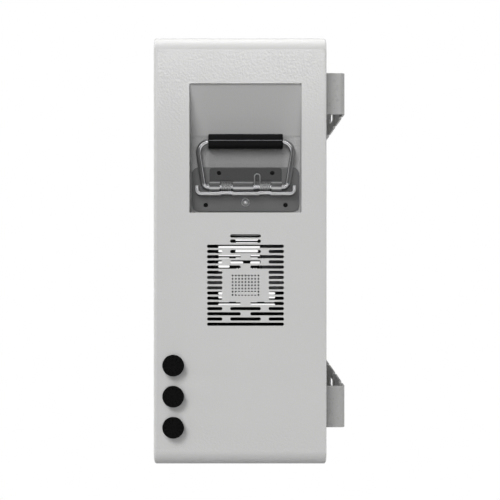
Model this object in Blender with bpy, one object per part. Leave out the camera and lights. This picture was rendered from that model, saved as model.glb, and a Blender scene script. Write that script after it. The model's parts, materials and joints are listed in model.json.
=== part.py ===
"""Wall battery unit: a sheet steel cabinet on two wall brackets, with a folding
lift handle in a pocket on each side, slotted vents, cable glands and the cells inside.

Units are metres. The origin lies on the wall, on the centre line and at mid-height.
+X is the right side seen from the front, +Y points into the wall and +Z is up.
"""

import math

import bmesh
import bpy
import numpy as np
from mathutils import Vector

# Clearance between two pieces that touch
GAP = 0.0003

# Cabinet shell
WIDTH = 0.450
HEIGHT = 0.560
DEPTH = 0.225
STANDOFF = 0.027
SHEET = 0.002
ROLL_RADIUS = 0.019
EDGE_RADIUS = 0.003
FLANGE = 0.014
FLANGE_CORNER = 0.002
COVER_SHEET = 0.002
COVER_LIP = 0.0055
COVER_GAP = 0.001
COVER_SCREW_END = 0.040

# Countersunk screws of the cover
COVER_HEAD_RADIUS = 0.0038
COVER_SHANK_RADIUS = 0.0018
COVER_SCREW_TAIL = 0.003

# Handle pockets, set in from the front, rear and top edges of the side
POCKET_FRONT_MARGIN = 0.0465
POCKET_REAR_MARGIN = 0.0325
POCKET_DROP = 0.0622
POCKET_DEPTH = 0.036
POCKET_SHEET = 0.0015
POCKET_RIM = 0.008
SLOPE_HEIGHT = 0.0658
SLOPE_RISE = 0.007

# Folding handle: base plate, rolled strap, wire bail, grip and springs
PLATE_SHEET = 0.002
PLATE_HEIGHT = 0.059
PLATE_CORNER = 0.009
PLATE_MARGIN = 0.0015
PLATE_LIFT = 0.0028
PIVOT_HEIGHT = 0.0323
STRAP_SHEET = 0.0022
STRAP_HEIGHT = 0.0256
STRAP_CORNER = 0.003
STRAP_MARGIN = 0.0076
KNUCKLE = 0.014
SPRING_SPACE = 0.017
NOTCH_HEIGHT = 0.0027
LIP_THICKNESS = 0.0042
LIP_REACH = 0.014
LIP_MARGIN = 0.0072
LIP_CLEARANCE = 0.0009
LIP_UPTURN = 0.0108
LIP_BEND = 0.0095
BAIL_WIRE = 0.0072
BAIL_HEIGHT = 0.0601
BAIL_TOP_MARGIN = 0.0066
BAIL_TAPER = 0.0093
BAIL_FOOT_BEND = 0.007
BAIL_TOP_BEND = 0.0148
BAIL_END_GAP = 0.008
GRIP_RADIUS = 0.010
GRIP_EDGE = 0.0012
GRIP_MARGIN = 0.00085
GRIP_CLEARANCE = 0.0008
SPRING_WIRE = 0.0017
SPRING_CLEARANCE = 0.00035
SPRING_PITCH = 0.00222
SPRING_TURNS = 6
SPRING_STEPS = 8
LOOP_HEIGHT = 0.0176
LOOP_WIDTH = 0.0073
LOOP_CLEARANCE = 0.00035
HANDLE_HEAD_RADIUS = 0.0029
HANDLE_SHANK_RADIUS = 0.0015
HANDLE_SCREW_TAIL = 0.003
STRAP_SCREW_INSET = 0.0125
STRAP_SCREW_DROP = 0.0068
PLATE_SCREW_INSET = 0.0183
PLATE_SCREW_LIFT = 0.0085
RIVET_RADIUS = 0.0056
RIVET_HEIGHT = 0.003
RIVET_SHANK = 0.002
RIVET_LIFT = 0.0121

# Vent: slots in rows, cut through both sides
VENT_DROP = 0.0303
VENT_WIDTH = 0.100
VENT_MIDDLE = 0.040
VENT_BRIDGE = 0.010
VENT_SPINE = 0.0125
VENT_SLOT = 0.0042
VENT_PITCH = 0.00675
VENT_ROWS = "CCFSLSLEEEEEELSLSF"

# Cable glands on the right side
GLAND_COUNT = 3
GLAND_RADIUS = 0.014
GLAND_WALL = 0.0018
GLAND_LENGTH = 0.014
GLAND_THREAD = 0.0098
GLAND_FLANGE = 0.003
GLAND_FLANGE_RADIUS = 0.0118
GLAND_NECK = 0.010
GLAND_BORE = 0.0065
GLAND_TAIL = 0.010
GLAND_NUT = 0.005
GLAND_NUT_RADIUS = 0.0135
GLAND_SEAL = 0.003
GLAND_DIMPLE = 0.003
GLAND_PITCH = 0.040
GLAND_FRONT = 0.0265
GLAND_BOTTOM = 0.0525

# Wall brackets
BRACKET_SHEET = 0.0025
BRACKET_INSET = 0.035
BRACKET_HEIGHT = 0.0552
BRACKET_DROP = 0.0424
BRACKET_LIFT = 0.0444
BRACKET_BEND = 0.003
BRACKET_FOOT = 0.015
BEAD_DEPTH = 0.0022
BEAD_WIDTH = 0.020
BEAD_INNER = 0.055
BEAD_OUTER = 0.152
HOOK_SLOT_WIDTH = 0.060
HOOK_SLOT_HEIGHT = 0.0135
HOOK_SLOT_LIFT = 0.0145
BOLT_HOLE_RADIUS = 0.005
BOLT_HOLE_REACH = 0.105

# Cells and electrics inside
MODULE_SPACING = 0.016
MODULE_SIDE_CLEARANCE = 0.0195
MODULE_REAR_CLEARANCE = 0.0087
MODULE_HEADROOM = 0.0871
MODULE_CHAMFER = 0.004
SERVICE_GAP = 0.027
POST_MARGIN = 0.030
POST_INSET = 0.0273
POST_RADIUS = 0.009
POST_LENGTH = 0.008
STUD_RADIUS = 0.003
STUD_LENGTH = 0.007
BAR_WIDTH = 0.020
BAR_SHEET = 0.003
BAR_CORNER = 0.004
SHELF_DROP = 0.0218
SHELF_SHEET = 0.002
SHELF_UPTURN = 0.010
SHELF_BEND = 0.003
TRAY_DROP = 0.057
TRAY_HEIGHT = 0.0181
TRAY_SIDE_GAP = 0.073
TRAY_FRONT_GAP = 0.037
TRAY_SHEET = 0.0015
TRAY_COVER = 0.0027
CONTACTOR_WIDTH = 0.090
CONTACTOR_DEPTH = 0.0673
CONTACTOR_REAR_GAP = 0.0137
CONTACTOR_HEADROOM = 0.002
FUSE_WIDTH = 0.024
FUSE_DEPTH = 0.030
FUSE_HEIGHT = 0.030
TERMINAL_WIDTH = 0.040
TERMINAL_DEPTH = 0.037
TERMINAL_HEIGHT = 0.060
TERMINAL_LIFT = 0.008
TERMINAL_FRONT_GAP = 0.0037
BLOCK_CHAMFER = 0.002

# Facets
ROLL_STEPS = 6
BEND_STEPS = 5
ROUND_STEPS = 16
SMALL_STEPS = 10
SMOOTH_ANGLE = math.radians(35)
CUT_MARGIN = 0.002

# Cabinet planes
FRONT = -(STANDOFF + DEPTH)
REAR = -STANDOFF
SIDE = WIDTH / 2
SIDE_INNER = SIDE - SHEET
TOP = HEIGHT / 2
FLOOR = SHEET - TOP
COVER_SEAT = FRONT + COVER_SHEET + GAP
FLANGE_BACK = COVER_SEAT + SHEET
PANEL_OUTER = REAR - SHEET - GAP
PANEL_INNER = PANEL_OUTER - SHEET

# Handle pocket planes
POCKET_WIDTH = DEPTH - POCKET_FRONT_MARGIN - POCKET_REAR_MARGIN
SIDE_AXIS = REAR - POCKET_REAR_MARGIN - POCKET_WIDTH / 2
POCKET_BACK = SIDE - POCKET_DEPTH
POCKET_MOUTH = SIDE_INNER - GAP
POCKET_TOP = TOP - POCKET_DROP
SLOPE_FOOT = POCKET_TOP - SLOPE_HEIGHT
PIVOT_UP = SLOPE_FOOT - SLOPE_RISE - BAIL_HEIGHT
PLATE_BOTTOM = PIVOT_UP - PIVOT_HEIGHT
POCKET_BOTTOM = PLATE_BOTTOM - PLATE_LIFT

# Handle sizes about its pivot, out from the pocket, along the side and up
PIVOT_OUT = POCKET_BACK + GRIP_RADIUS + GRIP_CLEARANCE
PLATE_FACE = POCKET_BACK + GAP + PLATE_SHEET - PIVOT_OUT
STRAP_FACE = PLATE_FACE + GAP + STRAP_SHEET
POCKET_REAR_FACE = POCKET_BACK - POCKET_SHEET - PIVOT_OUT
PLATE_HALF = POCKET_WIDTH / 2 - PLATE_MARGIN
BAIL_TOP_HALF = PLATE_HALF - BAIL_TOP_MARGIN
BAIL_FOOT_HALF = BAIL_TOP_HALF - BAIL_TAPER
STRAP_HALF = BAIL_FOOT_HALF - STRAP_MARGIN
GRIP_HALF = BAIL_TOP_HALF - BAIL_TOP_BEND - GRIP_MARGIN
LIP_HALF = PLATE_HALF - LIP_MARGIN
KNUCKLE_INNER = STRAP_HALF - KNUCKLE
CENTRE_HALF = KNUCKLE_INNER - SPRING_SPACE
BARREL_BORE = BAIL_WIRE / 2 + GAP
BARREL_RADIUS = BARREL_BORE + STRAP_SHEET
COIL_RADIUS = BAIL_WIRE / 2 + SPRING_CLEARANCE + SPRING_WIRE / 2
COIL_LENGTH = SPRING_TURNS * SPRING_PITCH
COIL_OUTER = KNUCKLE_INNER - SPRING_WIRE / 2 - 2 * GAP
LOOP_LEG = COIL_OUTER - COIL_LENGTH
LOOP_TIP = LOOP_LEG - LOOP_WIDTH
LOOP_OUT = STRAP_FACE + LOOP_CLEARANCE + SPRING_WIRE / 2
LOOP_NOTCH = LOOP_TIP - SPRING_WIRE / 2 - 2 * GAP
LIP_LEVEL = -(BARREL_RADIUS + LIP_CLEARANCE + LIP_THICKNESS / 2)
LIP_RAISED = -(COIL_RADIUS + SPRING_WIRE / 2 + GAP + LIP_THICKNESS / 2)
NOTCH_TOP = BARREL_RADIUS + NOTCH_HEIGHT
STRAP_SCREW = (STRAP_HALF - STRAP_SCREW_INSET, STRAP_HEIGHT - STRAP_SCREW_DROP)
PLATE_SCREW = (PLATE_HALF - PLATE_SCREW_INSET, PLATE_SCREW_LIFT - PIVOT_HEIGHT)
RIVET_UP = RIVET_LIFT - PIVOT_HEIGHT

# Inside levels
VENT_TOP = POCKET_BOTTOM - VENT_DROP
SHELF_TOP = POCKET_BOTTOM - SHELF_DROP
SHELF_BOTTOM = SHELF_TOP - SHELF_SHEET
TRAY_TOP = VENT_TOP - TRAY_DROP
TRAY_BOTTOM = TRAY_TOP - TRAY_HEIGHT
TRAY_COVER_TOP = TRAY_TOP + GAP + TRAY_COVER
MODULE_BOTTOM = FLOOR + GAP
MODULE_HEIGHT = TRAY_BOTTOM - MODULE_HEADROOM - MODULE_BOTTOM
MODULE_INNER = MODULE_SPACING / 2
MODULE_OUTER = POCKET_BACK - POCKET_SHEET - MODULE_SIDE_CLEARANCE
MODULE_FRONT = FRONT + SERVICE_GAP
MODULE_REAR = PANEL_INNER - MODULE_REAR_CLEARANCE
POST_NEAR = MODULE_INNER + POST_MARGIN
POST_FAR = MODULE_OUTER - POST_MARGIN
POST_FACE = MODULE_FRONT - POST_LENGTH
STUD_TIP = POST_FACE - STUD_LENGTH
LOWER_POST = MODULE_BOTTOM + MODULE_HEIGHT - POST_INSET
UPPER_POST = SHELF_TOP + GAP + POST_INSET
BAR_BACK = POST_FACE - GAP
TRAY_HALF = SIDE_INNER - TRAY_SIDE_GAP
TRAY_FRONT = FRONT + TRAY_FRONT_GAP
TRAY_REAR = PANEL_INNER - GAP
TRAY_POST = (TRAY_BOTTOM + TRAY_TOP) / 2
FUSE_BOTTOM = TRAY_COVER_TOP + GAP
FUSE_STUD = FUSE_BOTTOM + FUSE_HEIGHT / 2
GLAND_ALONG = FRONT + GLAND_FRONT
GLAND_LOWEST = GLAND_BOTTOM - TOP
GLAND_HOLE = GLAND_THREAD + GAP

# Colour, roughness and metallic value of each finish
FINISHES = {
    "powder_coat": ((0.55, 0.55, 0.54), 0.55, 0.0),
    "bracket_coat": ((0.42, 0.42, 0.41), 0.55, 0.0),
    "bright_steel": ((0.72, 0.73, 0.75), 0.18, 1.0),
    "dark_plated_steel": ((0.10, 0.10, 0.11), 0.35, 0.8),
    "black_oxide_steel": ((0.01, 0.01, 0.01), 0.45, 0.6),
    "black_rubber": ((0.010, 0.010, 0.011), 0.75, 0.0),
    "black_nylon": ((0.006, 0.006, 0.007), 0.50, 0.0),
    "module_case": ((0.03, 0.03, 0.035), 0.50, 0.0),
    "plated_copper": ((0.60, 0.58, 0.52), 0.30, 1.0),
    "zinc_sheet": ((0.30, 0.30, 0.31), 0.45, 0.7),
    "relay_case": ((0.05, 0.05, 0.055), 0.45, 0.0),
    "terminal_case": ((0.10, 0.10, 0.10), 0.50, 0.0),
}


def clear_scene():
    """Remove every object that the file opened with."""
    for item in list(bpy.data.objects):
        bpy.data.objects.remove(item, do_unlink=True)


def finish_material(name):
    """Principled material of one finish, made once and shared."""
    material = bpy.data.materials.get(name)
    if material is None:
        colour, roughness, metallic = FINISHES[name]
        material = bpy.data.materials.new(name)
        material.use_nodes = True
        shader = material.node_tree.nodes["Principled BSDF"]
        shader.inputs["Base Color"].default_value = (*colour, 1.0)
        shader.inputs["Roughness"].default_value = roughness
        shader.inputs["Metallic"].default_value = metallic
    return material


def mesh_from(shape, name):
    """Mesh of a bmesh solid with its faces turned outwards."""
    bmesh.ops.recalc_face_normals(shape, faces=shape.faces)
    mesh = bpy.data.meshes.new(name)
    shape.to_mesh(mesh)
    shape.free()
    return mesh


def add_object(name, data, finish, origin=(0.0, 0.0, 0.0)):
    """Named piece at its origin, smooth where its faces meet gently."""
    if isinstance(data, bmesh.types.BMesh):
        data = mesh_from(data, name)
        data.shade_smooth()
        data.set_sharp_from_angle(angle=SMOOTH_ANGLE)
    piece = bpy.data.objects.new(name, data)
    piece.location = origin
    data.materials.append(finish_material(finish))
    bpy.context.scene.collection.objects.link(piece)
    return piece


def combine(piece, shape, operation):
    """Apply a Boolean of the piece with a solid given in the piece's own frame."""
    tool = bpy.data.objects.new("tool", mesh_from(shape, "tool"))
    tool.location = piece.location
    bpy.context.scene.collection.objects.link(tool)
    change = piece.modifiers.new("combine", "BOOLEAN")
    change.operation = operation
    change.solver = "EXACT"
    change.object = tool
    bpy.context.view_layer.update()
    graph = bpy.context.evaluated_depsgraph_get()
    result = bpy.data.meshes.new_from_object(piece.evaluated_get(graph))
    piece.modifiers.clear()
    piece.data = result
    bpy.data.objects.remove(tool, do_unlink=True)
    result.set_sharp_from_angle(angle=SMOOTH_ANGLE)


def cut(piece, shape):
    """Take a solid away from the piece."""
    combine(piece, shape, "DIFFERENCE")


def join(piece, shape):
    """Weld a solid to the piece."""
    combine(piece, shape, "UNION")


def merged(shapes):
    """One bmesh that holds several separate solids."""
    whole = bmesh.new()
    for shape in shapes:
        part = mesh_from(shape, "merged")
        whole.from_mesh(part)
        bpy.data.meshes.remove(part)
    return whole


def mirrored(shape, side):
    """The shape as made for the right side, or turned over for the left."""
    bmesh.ops.scale(shape, vec=(side, 1.0, 1.0), verts=shape.verts)
    return shape


def place(flat_a, flat_b, along, axis):
    """Point from two flat coordinates and one along the axis, in X, Y, Z order."""
    if axis == "X":
        return (along, flat_a, flat_b)
    if axis == "Y":
        return (flat_a, along, flat_b)
    return (flat_a, flat_b, along)


def skin(shape, rings, closed):
    """Faces between neighbouring rings of points, the last joined to the first if closed."""
    count = len(rings[0])
    pairs = list(zip(rings, rings[1:]))
    if closed:
        pairs.append((rings[-1], rings[0]))
    for first, second in pairs:
        for index in range(count):
            after = (index + 1) % count
            shape.faces.new((first[index], first[after], second[after], second[index]))


def prism(outline, low, high, axis):
    """Flat outline carried from low to high along an axis."""
    shape = bmesh.new()
    rings = []
    for along in (low, high):
        rings.append([shape.verts.new(place(a, b, along, axis)) for a, b in outline])
    skin(shape, rings, False)
    for ring in rings:
        shape.faces.new(ring)
    return shape


def block(low, high, chamfer=0.0):
    """Box between two corners, with chamfered edges if asked."""
    outline = [(low[0], low[1]), (high[0], low[1]), (high[0], high[1]), (low[0], high[1])]
    shape = prism(outline, low[2], high[2], "Z")
    if chamfer:
        bmesh.ops.recalc_face_normals(shape, faces=shape.faces)
        bmesh.ops.bevel(shape, geom=shape.edges[:], offset=chamfer, segments=1, affect="EDGES")
    return shape


def turned(profile, axis, centre=(0.0, 0.0), steps=ROUND_STEPS):
    """Profile of (along, radius) points turned about an axis through the centre.

    A profile that starts and ends at radius 0 makes a solid, any other a ring.
    """
    shape = bmesh.new()
    solid = profile[0][1] == 0.0
    rings = []
    for along, radius in profile[1:-1] if solid else profile:
        ring = []
        for step in range(steps):
            angle = math.tau * step / steps
            flat_a = centre[0] + radius * math.cos(angle)
            flat_b = centre[1] + radius * math.sin(angle)
            ring.append(shape.verts.new(place(flat_a, flat_b, along, axis)))
        rings.append(ring)
    skin(shape, rings, not solid)
    if solid:
        for end, ring in ((profile[0], rings[0]), (profile[-1], rings[-1])):
            tip = shape.verts.new(place(*centre, end[0], axis))
            for index in range(steps):
                shape.faces.new((tip, ring[index], ring[(index + 1) % steps]))
    return shape


def rod(radius, low, high, axis, centre, steps=SMALL_STEPS):
    """Plain round rod."""
    return turned([(low, 0.0), (low, radius), (high, radius), (high, 0.0)], axis, centre, steps)


def rounded_rectangle(width, height, radius, steps, centre=(0.0, 0.0)):
    """Outline of a rectangle with round corners, without repeated points."""
    outline = []
    corners = ((1, 1, 0.0), (-1, 1, 0.25), (-1, -1, 0.5), (1, -1, 0.75))
    for sign_a, sign_b, turn in corners:
        middle_a = centre[0] + sign_a * (width / 2 - radius)
        middle_b = centre[1] + sign_b * (height / 2 - radius)
        for step in range(steps + 1):
            angle = math.tau * (turn + 0.25 * step / steps)
            point = (middle_a + radius * math.cos(angle), middle_b + radius * math.sin(angle))
            if not outline or math.dist(point, outline[-1]) > GAP / 10:
                outline.append(point)
    if math.dist(outline[0], outline[-1]) < GAP / 10:
        outline.pop()
    return outline


def rounded_path(corners, radius, steps=BEND_STEPS):
    """Path through the corners with each inner corner turned into an arc.

    The arc is tangent to both runs, and its length is cut where a run is too short.
    """
    points = [Vector(corner) for corner in corners]
    path = [points[0]]
    for before, corner, after in zip(points, points[1:], points[2:]):
        back = (before - corner).normalized()
        ahead = (after - corner).normalized()
        turn = math.pi - back.angle(ahead)
        reach = radius * math.tan(turn / 2)
        limit = min((before - corner).length, (after - corner).length) / 2
        reach = min(reach, limit)
        bend = reach / math.tan(turn / 2)
        middle = corner + (back + ahead).normalized() * bend / math.cos(turn / 2)
        start = (corner + back * reach - middle).normalized()
        end = (corner + ahead * reach - middle).normalized()
        path += [middle + start.slerp(end, step / steps) * bend for step in range(steps + 1)]
    path.append(points[-1])
    return path


def ribbon(path, thickness):
    """Outline of a flat strip of even thickness about a plane path, with mitred corners."""
    points = np.array([(point[0], point[1]) for point in path])
    runs = np.diff(points, axis=0)
    runs /= np.linalg.norm(runs, axis=1)[:, None]
    normals = np.stack([-runs[:, 1], runs[:, 0]], axis=1)
    mitres = np.concatenate([normals[:1], normals[:-1] + normals[1:], normals[-1:]])
    facing = np.concatenate([normals[:1], normals[1:], normals[-1:]])
    mitres /= np.sum(mitres * facing, axis=1)[:, None]
    left = points + mitres * thickness / 2
    right = points - mitres * thickness / 2
    return [tuple(point) for point in np.concatenate([left, right[::-1]])]


def tube(name, points, radius, resolution, finish, origin):
    """Wire of round section along a list of points, with closed ends."""
    curve = bpy.data.curves.new(name, "CURVE")
    curve.dimensions = "3D"
    curve.bevel_depth = radius
    curve.bevel_resolution = resolution
    curve.use_fill_caps = True
    spline = curve.splines.new("POLY")
    spline.points.add(len(points) - 1)
    for target, point in zip(spline.points, points):
        target.co = (*point, 1.0)
    return add_object(name, curve, finish, origin)


def least_gap(points, wire):
    """Least clear distance between turns of a wire, measured on its points.

    Points closer along the wire than a quarter turn of the coil are neighbours, not turns.
    """
    places = np.array(points)
    lengths = np.linalg.norm(np.diff(places, axis=0), axis=1)
    along = np.concatenate([[0.0], np.cumsum(lengths)])
    apart = np.linalg.norm(places[:, None] - places[None], axis=2)
    far = np.abs(along[:, None] - along[None]) > math.tau * COIL_RADIUS / 2
    return apart[far].min() - wire


def screw_profile(face, sense, head, shank, length):
    """Countersunk screw from its flat head along the axis, with a drive recess."""
    recess = head - shank
    drive = shank * 0.75
    return [
        (face + sense * recess, 0.0),
        (face + sense * recess, drive),
        (face, drive),
        (face, head),
        (face + sense * (head - shank), shank),
        (face + sense * length, shank),
        (face + sense * length, 0.0),
    ]


def sink_profile(face, sense, head, shank, length):
    """Cutter of a countersunk hole, clear of its screw and open at both ends."""
    slope = head - shank
    return [
        (face - sense * CUT_MARGIN, 0.0),
        (face - sense * CUT_MARGIN, head + GAP),
        (face, head + GAP),
        (face + sense * slope, shank + GAP),
        (face + sense * (length + CUT_MARGIN), shank + GAP),
        (face + sense * (length + CUT_MARGIN), 0.0),
    ]


def casing_section():
    """Folded edge of the shell as (inset, depth) points, outer skin first.

    The front edge is hemmed to seat the cover, and the rear edge is folded over the panel.
    """
    section = []
    for step in range(BEND_STEPS):
        angle = math.pi / 2 * step / (BEND_STEPS - 1)
        inset = EDGE_RADIUS * (1 - math.sin(angle))
        section.append((inset, FRONT + EDGE_RADIUS * (1 - math.cos(angle))))
    for inset, along in reversed(section[:]):
        section.append((inset, FRONT + REAR - along))
    inner = SHEET + FLANGE
    section += [
        (inner, REAR),
        (inner, REAR - SHEET),
        (SHEET, REAR - SHEET),
        (SHEET, FLANGE_BACK),
        (inner, FLANGE_BACK),
        (inner, COVER_SEAT),
        (COVER_LIP, COVER_SEAT),
        (COVER_LIP, FRONT),
    ]
    return section


def shell_outline(inset):
    """Outline of the cabinet seen from the front, set in from its outer skin."""
    radius = max(ROLL_RADIUS - inset, FLANGE_CORNER)
    return rounded_rectangle(WIDTH - 2 * inset, HEIGHT - 2 * inset, radius, ROLL_STEPS)


def vent_slots():
    """Ends along the side and level of every slot, one tuple each."""
    half = VENT_WIDTH / 2
    middle = VENT_MIDDLE / 2
    spine = VENT_SPINE / 2
    inner = middle + VENT_BRIDGE
    rows = {
        "C": [(-middle, middle)],
        "F": [(-half, half)],
        "S": [(-half, -inner), (-middle, middle), (inner, half)],
        "L": [(-half, -spine), (spine, half)],
        "E": [(-half, -inner), (inner, half)],
    }
    slots = []
    for index, code in enumerate(VENT_ROWS):
        level = VENT_TOP - index * VENT_PITCH
        slots += [(SIDE_AXIS + low, SIDE_AXIS + high, level) for low, high in rows[code]]
    return slots


def gland_levels():
    """Height of each cable gland, from the top one down."""
    return [GLAND_LOWEST + GLAND_PITCH * index for index in reversed(range(GLAND_COUNT))]


def cover_screw_places():
    """Place of each cover screw, seen from the front."""
    across = SIDE - (COVER_LIP + COVER_GAP + SHEET + FLANGE) / 2
    up = TOP - COVER_SCREW_END
    return [(across, up), (-across, up), (-across, -up), (across, -up)]


def cover_screw_shape(profile):
    """Cover screws or their holes share one length through cover, gap and flange."""
    length = COVER_SHEET + GAP + SHEET + COVER_SCREW_TAIL
    return profile(FRONT, 1.0, COVER_HEAD_RADIUS, COVER_SHANK_RADIUS, length)


def build_casing():
    """Wrapped shell with its vents, pocket windows, gland holes and screw holes."""
    shape = bmesh.new()
    rings = []
    for inset, along in casing_section():
        rings.append([shape.verts.new((x, along, z)) for x, z in shell_outline(inset)])
    skin(shape, rings, True)
    casing = add_object("casing_wrap", shape, "powder_coat")
    reach = SIDE + CUT_MARGIN
    cutters = []
    for low, high, level in vent_slots():
        middle = ((low + high) / 2, level)
        slot = rounded_rectangle(high - low, VENT_SLOT, VENT_SLOT / 2, 2, middle)
        cutters.append(prism(slot, -reach, reach, "X"))
    low = (-reach, SIDE_AXIS - POCKET_WIDTH / 2, POCKET_BOTTOM)
    high = (reach, SIDE_AXIS + POCKET_WIDTH / 2, POCKET_TOP)
    cutters.append(block(low, high))
    for level in gland_levels():
        start = SIDE_INNER - CUT_MARGIN
        cutters.append(rod(GLAND_HOLE, start, reach, "X", (GLAND_ALONG, level), ROUND_STEPS))
    for x, z in cover_screw_places():
        cutters.append(turned(cover_screw_shape(sink_profile), "Y", (x, z), SMALL_STEPS))
    cut(casing, merged(cutters))


def build_cover():
    """Flat front cover in the shell's rebate, and its four countersunk screws."""
    cover = add_object(
        "front_cover", prism(shell_outline(COVER_LIP + COVER_GAP), FRONT, FRONT + COVER_SHEET, "Y"),
        "powder_coat")
    holes = []
    for index, (x, z) in enumerate(cover_screw_places()):
        holes.append(turned(cover_screw_shape(sink_profile), "Y", (x, z), SMALL_STEPS))
        screw = turned(cover_screw_shape(screw_profile), "Y", (x, z), SMALL_STEPS)
        add_object(f"cover_screw_{index + 1}", screw, "black_oxide_steel")
    cut(cover, merged(holes))


def build_rear_panel():
    """Flat panel behind the folded rear edge."""
    outline = shell_outline(SHEET + GAP)
    add_object("rear_panel", prism(outline, PANEL_INNER, PANEL_OUTER, "Y"), "powder_coat")


def bracket_path():
    """Centre line of a bracket seen from above, from one foot to the other."""
    back = -BRACKET_SHEET / 2
    foot = PANEL_OUTER + GAP + BRACKET_SHEET / 2
    end = SIDE - BRACKET_INSET - BRACKET_SHEET / 2
    crown = BEAD_WIDTH / 2 - BEAD_DEPTH
    corners = [(end + BRACKET_FOOT, foot), (end, foot), (end, back)]
    for middle in (BEAD_OUTER, BEAD_INNER, -BEAD_INNER, -BEAD_OUTER):
        corners.append((middle + BEAD_WIDTH / 2, back))
        corners.append((middle + crown, back - BEAD_DEPTH))
        corners.append((middle - crown, back - BEAD_DEPTH))
        corners.append((middle - BEAD_WIDTH / 2, back))
    corners += [(-end, back), (-end, foot), (-end - BRACKET_FOOT, foot)]
    fold = BRACKET_BEND + BRACKET_SHEET / 2
    near = rounded_path(corners[:4], fold)[:-1]
    far = rounded_path(corners[-4:], fold)[1:]
    return near + [Vector(corner) for corner in corners[3:-3]] + far


def build_bracket(name, sense, margin):
    """Folded wall bracket a margin in from the end of the cabinet: sense is 1 at the top, -1 below."""
    outer = sense * (TOP - margin)
    inner = outer - sense * BRACKET_HEIGHT
    outline = ribbon(bracket_path(), BRACKET_SHEET)
    bracket = add_object(name, prism(outline, inner, outer, "Z"), "bracket_coat")
    slot_level = inner + sense * (HOOK_SLOT_LIFT + HOOK_SLOT_HEIGHT / 2)
    slot = rounded_rectangle(
        HOOK_SLOT_WIDTH, HOOK_SLOT_HEIGHT, HOOK_SLOT_HEIGHT / 2, 3, (0.0, slot_level))
    low = -BRACKET_SHEET - CUT_MARGIN
    cutters = [prism(slot, low, CUT_MARGIN, "Y")]
    for across in (-BOLT_HOLE_REACH, BOLT_HOLE_REACH):
        place_of_hole = (across, (outer + inner) / 2)
        cutters.append(rod(BOLT_HOLE_RADIUS, low, CUT_MARGIN, "Y", place_of_hole))
    cut(bracket, merged(cutters))


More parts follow.
